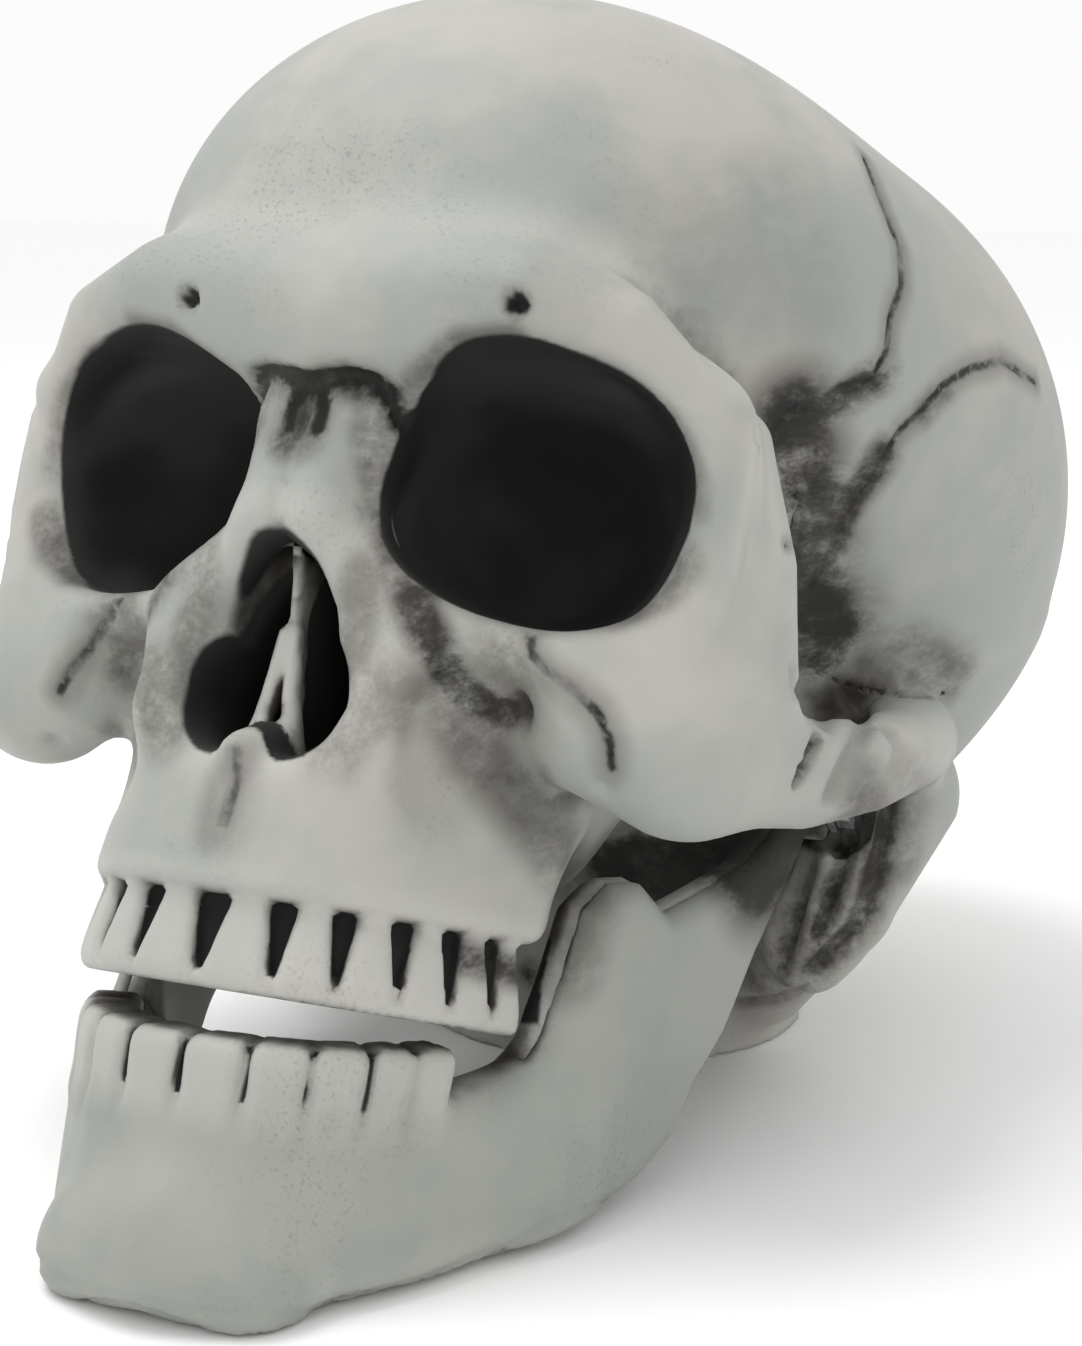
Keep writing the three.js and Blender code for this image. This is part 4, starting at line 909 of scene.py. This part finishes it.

# Lines pressed into the surface: pixels, reach, depth and how dark the painted shade in the hollow is
CARVINGS = {
    "cheekbone_end": ([(794, 672), (797, 690), (810, 700), (819, 712), (822, 726)], 1.8, 0.8, 0.15),
    "cheekbone_slot": ([(818, 736), (808, 762), (797, 783)], 1.1, 1.6, 1),
    "arch_start": ([(846, 692), (860, 708), (863, 722), (859, 742), (845, 768), (832, 796)], 2.2, 1.5, 0.3),
    "arch_middle": ([(886, 726), (904, 748), (898, 768), (884, 783), (866, 796)], 2.6, 1.3, 0.2),
    "mastoid_rear": ([(888, 806), (886, 845), (874, 900), (858, 933), (834, 957), (812, 978)], 4.5, 2.6, 1),
    "mastoid_front": ([(846, 838), (834, 870), (824, 905), (818, 930)], 3.6, 2.2, 1),
    "nasal_crescent": ([(284, 422), (289, 402), (302, 386), (322, 379),
                        (350, 378), (374, 384), (392, 400), (404, 420)], 2.3, 1.7, 1.2),
    "mastoid_side": ([(806, 870), (792, 920), (776, 965)], 3.2, 1.6, 0.9),
    "stand_ledge": ([(736, 1003), (775, 999), (812, 988)], 1.4, 1.2, 0.5),
    "jaw_parting": ([(95, 1290), (180, 1308), (290, 1315), (400, 1300),
                     (470, 1270), (530, 1235), (600, 1205), (640, 1180)], 1.3, 0.5, 0),
}

# Airbrushed smudges, and painted shade behind the temple's edge, beside the nose and under the cheekbone's
# arch: pixels, reach and strength
STAINS_AND_SHADES = [
    ([(786, 425), (815, 412), (850, 395), (885, 372)], 5, 0.95),
    # Painted shade behind the temple's edge
    ([(792, 425), (800, 480), (812, 545), (806, 600), (830, 640)], 14, 1),
    ([(836, 540), (850, 500), (880, 460)], 6, 1),
    ([(922, 414), (950, 383)], 4, 0.8),
    ([(850, 655), (900, 655), (950, 680)], 9, 0.75),
    ([(372, 430), (378, 500), (392, 560), (418, 620)], 4.5, 0.75),
    ([(412, 596), (432, 640), (458, 690), (505, 712)], 5.0, 1),
    ([(430, 560), (425, 600), (440, 640)], 3.5, 0.8),
    # Painted shade beside the nose, on the cheek
    ([(452, 700), (480, 750), (520, 800), (560, 850)], 8, 0.7),
    ([(455, 955), (490, 965), (530, 975)], 4, 0.9),
    ([(284, 440), (300, 398), (345, 380), (392, 402), (402, 440)], 4.5, 0.85),
    ([(118, 615), (140, 665), (165, 720)], 8, 0.7),
    ([(205, 560), (190, 640), (170, 700)], 5, 0.7),
    ([(225, 780), (215, 830)], 5, 0.4),
    ([(860, 800), (850, 880), (800, 960), (760, 985)], 9, 0.7),
    ([(905, 790), (900, 860)], 8, 0.5),
    ([(700, 250), (780, 220), (800, 290)], 16, 0.18),
    ([(520, 300), (640, 230)], 14, 0.08),
    ([(396, 416), (410, 388), (430, 364), (462, 340), (510, 334)], 4.0, 0.62),
    ([(48, 520), (54, 552), (78, 580), (112, 592)], 4.5, 0.75),
    # The next two lines are painted shade under the cheekbone's arch and beside the jaw's branch
    ([(640, 862), (690, 868), (740, 862), (790, 845)], 15, 1.25),
    ([(588, 862), (572, 910), (560, 960)], 9, 0.6),
    ([(52, 470), (60, 430), (72, 388), (96, 352), (140, 330)], 2.6, 0.5),
    ([(290, 1120), (400, 1125)], 8, 0.12),
]
FAR_SIDE_STRENGTH = 0.8

# The groove between the nose bones: where it starts and where it is full
NASAL_GROOVE_DEPTH = 0.9
NASAL_GROOVE_SHADE = 0.8
NASAL_GROOVE_FOOT = (-12, -9)
NASAL_GROOVE_TOP = (-3, -4.5)
NASAL_GROOVE_SIDE = (1.3, 0.2)

# Where each mark starts and where it is full, as shares of its reach
STAIN_AND_SHADE_FALLOFF = (1, 0.25)
CARVED = (1, 0.1)
CARVED_SHADE = (1.2, 0.3)
PITTED = (1.25, 0.3)
PIT_SHADE = (1.4, 0.4)
DRILLED_HOLE_SHADE = (1.1, 0.6)

# A line gets a point every few pixels, and one that lands past the break lies on another surface
LINE_STEP_PIXELS = 7
LINE_BREAK = 9


def whole_tree(pieces):
    """A tree of every fine piece, so that a pixel of the photograph lands on the surface that it shows."""
    corners, faces = [], []
    for points, quads in pieces:
        faces += (quads + sum(len(c) for c in corners)).tolist()
        corners.append(points)
    return BVHTree.FromPolygons(np.concatenate(corners).tolist(), faces)


def landed(tree, pixel):
    place = tree.ray_cast(CAMERA_PLACE, ray_through(pixel))[0]
    return None if place is None else np.array(place) / MM


def line_on(tree, pixels):
    """The line on the surface, in millimetres."""
    points = []
    for (ax, ay), (bx, by) in zip(pixels[:-1], pixels[1:]):
        count = max(1, round(hypot(bx - ax, by - ay) / LINE_STEP_PIXELS))
        for n in range(count):
            points.append(landed(tree, (ax + (bx - ax) * n / count, ay + (by - ay) * n / count)))
    points.append(landed(tree, pixels[-1]))
    points = [p for p in points if p is not None]
    return [p for k, p in enumerate(points) if k == 0 or np.linalg.norm(p - points[k - 1]) < LINE_BREAK]


def line_distance(places, line):
    best = np.full(len(places), FAR)
    for a, b in zip(line[:-1], line[1:]):
        run = b - a
        t = np.clip((places - a) @ run / max(run @ run, TINY), 0, 1)
        best = np.minimum(best, np.linalg.norm(places - a - t[:, None] * run, axis=1))
    return best


def mirrored(line):
    return [p * (-1, 1, 1) for p in line]


# Wash and painted shade: hollows are darker, partly from the real dark wash paint and partly as painted
# shade, also where the jaw closes in on the skull; edges are rubbed light

CAVITY_REACHES = [(1.5, 0.34), (4, 0.26), (9, 0.22), (18, 0.18)]
EDGE_REACH = 3.5


def smooth_step(low, high, value):
    return eased(np.clip((value - low) / (high - low), 0, 1))


# Painted shade with the wash: the less free room in front of a place at several reaches, the darker it is;
# the jaw counts as well as the skull
def wash_and_shade_in_hollows(points, normals):
    shade = np.zeros(len(points))
    for reach, weight in CAVITY_REACHES:
        free = whole_field(*(points + reach * normals).T) / reach
        shade += weight * (1 - np.clip(free, 0, 1))
    return shade


def edge_rub(points, normals):
    return 1 - np.clip(-whole_field(*(points - EDGE_REACH * normals).T) / EDGE_REACH, 0, 1)


EYE_RIM_FRONT = -0.8
EYE_RIM_CURVE = 5.7
EYE_RIM_TURN = 0.16
EYE_RIM_LEAN = 0.27

# Where each edge of the black paint, and of the painted shade in the tooth gaps, starts and where it is
# full
SOCKET_EDGE = (0.5, 1.9)
BEHIND_RIM = (1.2, 3.4)
SOCKET_BORDER = (2.2, 1.3)
DEEP_IN_SOCKET = (2, 6)
DEEP_BORDER = 3
NOSE_EDGE = (0.2, 1.3)
NOSE_BORDER = (4.5, 3.0)
BARE_SEPTUM = (1.2, 0.4)
BARE_SEPTUM_DEPTH = (3.2, 1.8)
UPPER_GAPS = ((-0.9, -2.1), (-5, -4.4), (1.0, 2.6), (CROWN + 3, CROWN + 1))
LOWER_GAPS = ((-0.2, -1.0), (-3, -2.6), (0.5, 1.5), (LOWER_CROWN + 1, LOWER_CROWN - 1))


def behind_eye_rim(side, y, z):
    """How far behind the socket's rim a place lies; the rim curves back at both sides and leans."""
    across = side - EYE_CENTRE[0]
    rim = EYE_RIM_FRONT + EYE_RIM_CURVE * (2 * across / EYE_WIDTH) ** 2
    return y - rim - EYE_RIM_TURN * across + EYE_RIM_LEAN * (z - EYE_CENTRE[2])


def socket_paint(x, y, z):
    """Black paint in the eye sockets and the nose, from just inside their rims, but not on the septum."""
    side = np.abs(x)
    mass = -skull_mass(x, y, z)
    behind = behind_eye_rim(side, y, z)
    border = eye_socket(side, y, z) - DEEP_BORDER * smooth_step(*DEEP_IN_SOCKET, behind)
    eye = np.maximum(smooth_step(*SOCKET_EDGE, mass), smooth_step(*BEHIND_RIM, behind))
    nose = smooth_step(*NOSE_EDGE, mass) * smooth_step(*NOSE_BORDER, nose_opening(side, y, z))
    septum = np.minimum(nose_septum(side, y, z), septum_crest(side, y, z))
    edge = smooth_step(*BARE_SEPTUM, septum) * smooth_step(*BARE_SEPTUM_DEPTH, y - septum_front(z))
    return np.maximum(eye * smooth_step(*SOCKET_BORDER, border), nose * (1 - edge))


def gap_shade(out, up, front, back, edge, gum):
    between = smooth_step(*front, out) * smooth_step(*back, out)
    return between * smooth_step(*edge, up) * smooth_step(*gum, up)


def tooth_gap_shade(x, y, z):
    """Painted shade: black in the gaps between the crowns, behind the front of their row, standing for the
    dark of deep gaps.
    """
    side = np.abs(x)
    up = z - BITE
    upper = gap_shade(horseshoe(*UPPER_ARCH, side, y) + CROWN_LEAN * up, up, *UPPER_GAPS)
    lower = gap_shade(horseshoe(*LOWER_ARCH, side, y), lower_edge(y) - z, *LOWER_GAPS)
    lower = lower * (y < LOWER_PLACES[-1][1] + LOWER_WIDTHS[-1] / 2)
    return np.maximum(upper, lower) * (y < ARCH_REAR)


# Materials

class Graph:
    """Short calls to build one material's nodes."""

    def __init__(self, name):
        self.material = bpy.data.materials.new(name)
        self.material.use_nodes = True
        self.tree = self.material.node_tree
        self.shader = self.tree.nodes["Principled BSDF"]
        self.place = self.node("ShaderNodeTexCoord").outputs["Object"]

    def link(self, source, target):
        if isinstance(source, tuple):
            target.default_value = (*source, 1)
        elif isinstance(source, (int, float)):
            target.default_value = source
        else:
            self.tree.links.new(source, target)

    def node(self, kind, given=None):
        node = self.tree.nodes.new(kind)
        for name, value in (given or {}).items():
            self.link(value, node.inputs[name])
        return node

    def surface(self, name, value):
        self.link(value, self.shader.inputs[name])

    def maths(self, operation, *values):
        node = self.node("ShaderNodeMath")
        node.operation = operation
        for value, socket in zip(values, node.inputs):
            self.link(value, socket)
        return node.outputs[0]

    def stretched(self, scale):
        node = self.node("ShaderNodeMapping", {"Vector": self.place})
        node.inputs["Scale"].default_value = scale
        return node.outputs[0]

    def noise(self, scale, detail=3.0, roughness=0.55, place=None):
        given = {"Vector": place or self.place, "Scale": scale, "Detail": detail, "Roughness": roughness}
        return self.node("ShaderNodeTexNoise", given).outputs[0]

    def attribute(self, name):
        node = self.node("ShaderNodeAttribute")
        node.attribute_name = name
        return node.outputs["Fac"]

    def ramp(self, value, low, high, to_low=0.0, to_high=1.0):
        given = {"Value": value, "From Min": low, "From Max": high, "To Min": to_low, "To Max": to_high}
        node = self.node("ShaderNodeMapRange", given)
        node.interpolation_type = "SMOOTHSTEP"
        return node.outputs[0]

    def mixed(self, amount, first, second):
        node = self.node("ShaderNodeMix")
        node.data_type = "RGBA"
        self.link(amount, node.inputs["Factor"])
        for colour, name in ((first, "A"), (second, "B")):
            self.link(colour, [s for s in node.inputs if s.name == name and s.type == "RGBA"][0])
        return [s for s in node.outputs if s.type == "RGBA"][0]

    def bumped(self, height, distance):
        node = self.node("ShaderNodeBump", {"Strength": 1, "Distance": distance, "Height": height})
        self.surface("Normal", node.outputs[0])


WARM_GREY = (0.43, 0.415, 0.385)
GREEN_GREY = (0.325, 0.34, 0.315)
RUBBED_GREY = (0.48, 0.475, 0.445)
JAW_GREY = (0.33, 0.335, 0.305)
JAW_GREEN_GREY = (0.26, 0.28, 0.255)
PAINT_AND_SHADE_BLACK = (0.012, 0.013, 0.012)
THIN_BLACK = (0.032, 0.031, 0.03)
WASH_AND_SHADE_BROWN = (0.055, 0.047, 0.038)
PLATE_GREY = (0.30, 0.32, 0.29)
PLATE_SHADE = 0.82
ZINC_DARK = (0.42, 0.43, 0.44)
ZINC_LIGHT = (0.62, 0.63, 0.64)
SKULL_ROUGHNESS = 0.56
JAW_ROUGHNESS = 0.5
PAINT_ROUGHNESS = 0.8
BONE_SPECULAR = 0.34
GRAIN_HEIGHT = 0.25 * MM


def bone_plastic(name, light, shade, roughness):
    """Painted plastic bone: a mottled grey, a dark wash and painted shade in the hollows, and edges rubbed
    light.
    """
    g = Graph(name)

    # Mottled greys, rubbed lighter along the edges and speckled
    base = g.mixed(g.ramp(g.noise(22, 4, 0.6), 0.38, 0.64), shade, light)
    base = g.mixed(g.ramp(g.noise(9, 2), 0.45, 0.7, 0, 0.35), base, GREEN_GREY)
    base = g.mixed(g.ramp(g.attribute("rub"), 0.08, 0.6, 0, 0.55), base, RUBBED_GREY)
    grain = g.noise(1500, 2)
    speck = g.maths("MULTIPLY", g.ramp(grain, 0.54, 0.70), g.ramp(g.noise(30, 3), 0.5, 0.75, 0, 0.28))
    base = g.mixed(speck, base, WASH_AND_SHADE_BROWN)

    # Wash and paint, both partly painted shade, with broken edges, and smudges and painted shade that thin
    # out in streaks round a dark core
    breakup = g.maths("MULTIPLY_ADD", g.noise(160, 5, 0.65), 0.5, -0.25)
    wash_and_shade = g.ramp(g.maths("ADD", g.attribute("wash_and_shade"), breakup), 0.26, 0.86)
    black_paint_and_shade = g.ramp(g.maths("ADD", g.attribute("black_paint_and_shade"), g.maths("MULTIPLY", breakup, 0.6)), 0.25, 0.8)
    streaks = g.noise(70, 6, 0.75, g.stretched((1, 0.35, 1)))
    stain_and_shade_amount = g.attribute("stain_and_shade")
    stain_and_shade = g.maths("MULTIPLY", stain_and_shade_amount, g.ramp(streaks, 0.28, 0.58))
    core = g.ramp(g.maths("ADD", stain_and_shade_amount, g.maths("MULTIPLY_ADD", streaks, 1.2, -0.6)), 0.72, 1.15, 0, 0.9)

    # Cracks: a wobbly dark line, fainter in places, in a soft halo
    wobble = g.maths("MULTIPLY_ADD", g.noise(420, 3, 0.7), 0.9, -0.45)
    crack = g.maths("ADD", g.attribute("crack"), wobble)
    broken = g.ramp(g.noise(95, 3, 0.6), 0.36, 0.6, 0.25, 1)
    line = g.maths("MULTIPLY", g.ramp(crack, 0.25, 0.95, 1, 0), broken)
    halo = g.ramp(crack, 0.6, 4.2, 0.42, 0)

    # Brown where the wash, smudges and painted shade are thin, black where the paint and painted shade are
    # thick
    soft = g.maths("MAXIMUM", g.maths("MAXIMUM", wash_and_shade, stain_and_shade), halo)
    hard = g.maths("MAXIMUM", g.maths("MAXIMUM", black_paint_and_shade, line), core)
    black = g.mixed(g.ramp(g.noise(34, 2), 0.44, 0.62), PAINT_AND_SHADE_BLACK, THIN_BLACK)
    g.surface("Base Color", g.mixed(hard, g.mixed(soft, base, WASH_AND_SHADE_BROWN), black))
    g.surface("Roughness", g.ramp(hard, 0, 1, roughness, PAINT_ROUGHNESS))
    g.surface("Specular IOR Level", BONE_SPECULAR)

    relief = g.maths("ADD", g.maths("MULTIPLY", grain, 0.18), g.maths("MULTIPLY", g.noise(260, 4), 0.3))
    g.bumped(g.maths("ADD", relief, g.ramp(crack, 0.1, 1.3, -1.4, 0)), GRAIN_HEIGHT)
    return g.material


def moulded_plastic(name, colour):
    g = Graph(name)
    shade = tuple(PLATE_SHADE * c for c in colour)
    g.surface("Base Color", g.mixed(g.ramp(g.noise(60, 3), 0.4, 0.7), colour, shade))
    g.surface("Roughness", g.ramp(g.noise(300, 3), 0.3, 0.7, 0.5, 0.66))
    g.bumped(g.noise(1400, 2), 0.06 * MM)
    return g.material


def zinc_steel(name):
    g = Graph(name)
    brushed = g.noise(900, 3, 0.6, g.stretched((1, 1, 0.12)))
    g.surface("Base Color", g.mixed(g.ramp(brushed, 0.35, 0.7), ZINC_DARK, ZINC_LIGHT))
    g.surface("Roughness", g.ramp(brushed, 0.3, 0.7, 0.28, 0.44))
    g.surface("Metallic", 1)
    g.bumped(brushed, 0.04 * MM)
    return g.material


# Pieces: each form's field, its grid's low and high corners, and the grid's step

SKULL_BOX = ((0, -22, -104), (78, 188, 84))
JAW_BOX = ((0, -20, -134), (56, 96, -28))
FORMS = {
    "front": (front_field, *SKULL_BOX, 1.1),
    "rear": (rear_field, *SKULL_BOX, 1.6),
    "jaw": (jaw_outer_field, *JAW_BOX, 1.0),
    "inner": (jaw_inner_field, *JAW_BOX, 1.3),
}
COARSENESS = 1


def normals_of(points, quads):
    across = points[quads[:, 2]] - points[quads[:, 0]]
    along = points[quads[:, 3]] - points[quads[:, 1]]
    face = np.cross(across, along)
    total = np.zeros_like(points)
    for k in range(4):
        np.add.at(total, quads[:, k], face)
    return total / np.maximum(np.linalg.norm(total, axis=1), TINY)[:, None]


def add_piece(name, points, quads, attributes, material):
    mesh = bpy.data.meshes.new(name)
    mesh.from_pydata(points.tolist(), [], quads.tolist())
    mesh.polygons.foreach_set("use_smooth", [True] * len(mesh.polygons))
    for key, values in attributes.items():
        layer = mesh.attributes.new(key, "FLOAT", "POINT")
        layer.data.foreach_set("value", values.astype(np.float32))
    mesh.materials.append(material)
    mesh.update()
    return new_object(name, mesh)


meshes = {key: sculpt(*form, COARSENESS * step) for key, (*form, step) in FORMS.items()}
tree = whole_tree([(set_down(points), quads) for points, quads in meshes.values()])

crack_lines = []
for name, (pixels, width) in CRACKS.items():
    line = line_on(tree, pixels)
    crack_lines.append((line, width))
    if name in MIRRORED_CRACKS:
        crack_lines.append((mirrored(line), width))
stain_and_shade_lines = []
for pixels, reach, strength in STAINS_AND_SHADES:
    line = line_on(tree, pixels)
    stain_and_shade_lines += [(line, reach, strength), (mirrored(line), reach, FAR_SIDE_STRENGTH * strength)]
carvings = []
for pixels, reach, depth, shade in CARVINGS.values():
    line = line_on(tree, pixels)
    carvings += [(line, reach, depth, shade), (mirrored(line), reach, depth, shade)]
pit_places = [(landed(tree, pixel), *rest) for pixel, *rest in PITS.values()]


def nasal_groove(x, y, z):
    """The groove between the rounded upper ends of the two nasal bones."""
    along = smooth_step(*NASAL_GROOVE_FOOT, z) * smooth_step(*NASAL_GROOVE_TOP, z)
    return smooth_step(*NASAL_GROOVE_SIDE, np.abs(x)) * along * (y < 0)


def marked(points, quads):
    """The form with its cracks and pits carved in, and the attributes that its paint and painted shade
    follow.
    """
    normals = normals_of(points, quads)
    placed = set_down(points) / MM
    crack = np.full(len(points), CRACK_FAR)
    for line, width in crack_lines:
        crack = np.minimum(crack, line_distance(placed, line) / width)
    # Smudges and painted shade along the lines
    stain_and_shade = np.zeros(len(points))
    for line, reach, strength in stain_and_shade_lines:
        gap = line_distance(placed, line) / reach
        stain_and_shade = np.maximum(stain_and_shade, strength * smooth_step(*STAIN_AND_SHADE_FALLOFF, gap))
    # Black paint in the sockets and the nose, and painted shade in the tooth gaps
    black_paint_and_shade = np.maximum(socket_paint(*points.T), tooth_gap_shade(*points.T))
    sunk = CRACK_DEPTH * np.exp(-(crack / CRACK_WIDTH) ** 2)
    # Painted shade in the groove between the nose bones
    groove = nasal_groove(*points.T)
    sunk = np.maximum(sunk, NASAL_GROOVE_DEPTH * groove)
    stain_and_shade = np.maximum(stain_and_shade, NASAL_GROOVE_SHADE * groove)
    # Carved lines and pits are darkened with painted shade in their hollows
    for line, reach, depth, shade in carvings:
        gap = line_distance(placed, line) / reach
        sunk = np.maximum(sunk, depth * smooth_step(*CARVED, gap))
        stain_and_shade = np.maximum(stain_and_shade, shade * smooth_step(*CARVED_SHADE, gap))
    for place, radius, depth, shade in pit_places:
        gap = np.linalg.norm(placed - place, axis=1) / radius
        sunk = np.maximum(sunk, depth * smooth_step(*PITTED, gap))
        stain_and_shade = np.maximum(stain_and_shade, shade * smooth_step(*PIT_SHADE, gap))
        # A drilled hole is painted black inside: painted shade for a deep hole
        if depth > DRILLED:
            black_paint_and_shade = np.maximum(black_paint_and_shade, smooth_step(*DRILLED_HOLE_SHADE, gap))
    attributes = {
        "wash_and_shade": wash_and_shade_in_hollows(points, normals),
        "rub": edge_rub(points, normals),
        "crack": crack,
        "stain_and_shade": stain_and_shade,
        "black_paint_and_shade": black_paint_and_shade,
    }
    return set_down(points - sunk[:, None] * normals), attributes


SKULL_BONE = bone_plastic("skull_bone_plastic", WARM_GREY, GREEN_GREY, SKULL_ROUGHNESS)
JAW_BONE = bone_plastic("jaw_bone_plastic", JAW_GREY, JAW_GREEN_GREY, JAW_ROUGHNESS)
PLATE_PLASTIC = moulded_plastic("base_plate_plastic", PLATE_GREY)
SCREW_STEEL = zinc_steel("zinc_screw_steel")

FINE_PIECES = [
    ("painted_cranium_front", "front", "cranium_front_shell", "skull", "bone_plastic", SKULL_BONE),
    ("painted_cranium_rear", "rear", "cranium_rear_shell", "skull", "bone_plastic", SKULL_BONE),
    ("painted_jaw_outside", "jaw", "jaw_outer_shell", "jaw", "jaw_plastic", JAW_BONE),
    ("painted_jaw_inside", "inner", "jaw_inner_shell", "jaw", "jaw_plastic", JAW_BONE),
]
for name, key, node, body, slot, material in FINE_PIECES:
    points, quads = meshes[key]
    places, attributes = marked(points, quads)
    piece = add_piece(name, places, quads, attributes, material)
    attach(piece, body)
    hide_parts(node)

for node, cad_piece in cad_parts.items():
    if node == "base_plate":
        cad_piece.data.materials[0] = PLATE_PLASTIC
    elif "screw" in node or "washer" in node:
        cad_piece.data.materials[0] = SCREW_STEEL


# Studio: pale floor, pale world and one soft light

FLOOR_HALF = 6.0
FLOOR_GREY = (0.97, 0.97, 0.97)
FLOOR_WHITE = (0.985, 0.985, 0.985)
FLOOR_ROUGHNESS = 0.9
ROOM_LIGHT = 0.97
KEY_LIGHT_PLACE = (-0.35, -0.15, 1.15)
KEY_LIGHT_AIM = (0, -0.04, 0.08)
KEY_LIGHT_POWER = 6
KEY_LIGHT_SIZE = 0.7


def make_floor():
    corners = FLOOR_HALF * np.array([(-1, -1, 0), (1, -1, 0), (1, 1, 0), (-1, 1, 0)])
    g = Graph("pale_floor")
    g.surface("Base Color", g.mixed(g.noise(2), FLOOR_GREY, FLOOR_WHITE))
    g.surface("Roughness", FLOOR_ROUGHNESS)
    floor = add_piece("floor", corners, np.array([(0, 1, 2, 3)]), {}, g.material)


def make_world():
    world = bpy.data.worlds.new("studio")
    world.use_nodes = True
    background = world.node_tree.nodes["Background"]
    background.inputs["Color"].default_value = (1, 1, 1, 1)
    background.inputs["Strength"].default_value = ROOM_LIGHT
    bpy.context.scene.world = world
    bpy.context.scene.view_settings.view_transform = "Standard"


def make_key_light():
    data = bpy.data.lights.new("key", "AREA")
    data.shape = "DISK"
    data.size = KEY_LIGHT_SIZE
    data.energy = KEY_LIGHT_POWER
    turn = (Vector(KEY_LIGHT_AIM) - Vector(KEY_LIGHT_PLACE)).to_track_quat("-Z", "Y").to_matrix()
    new_object("key", data).matrix_world = Matrix.Translation(KEY_LIGHT_PLACE) @ turn.to_4x4()


make_camera()
make_floor()
make_world()
make_key_light()
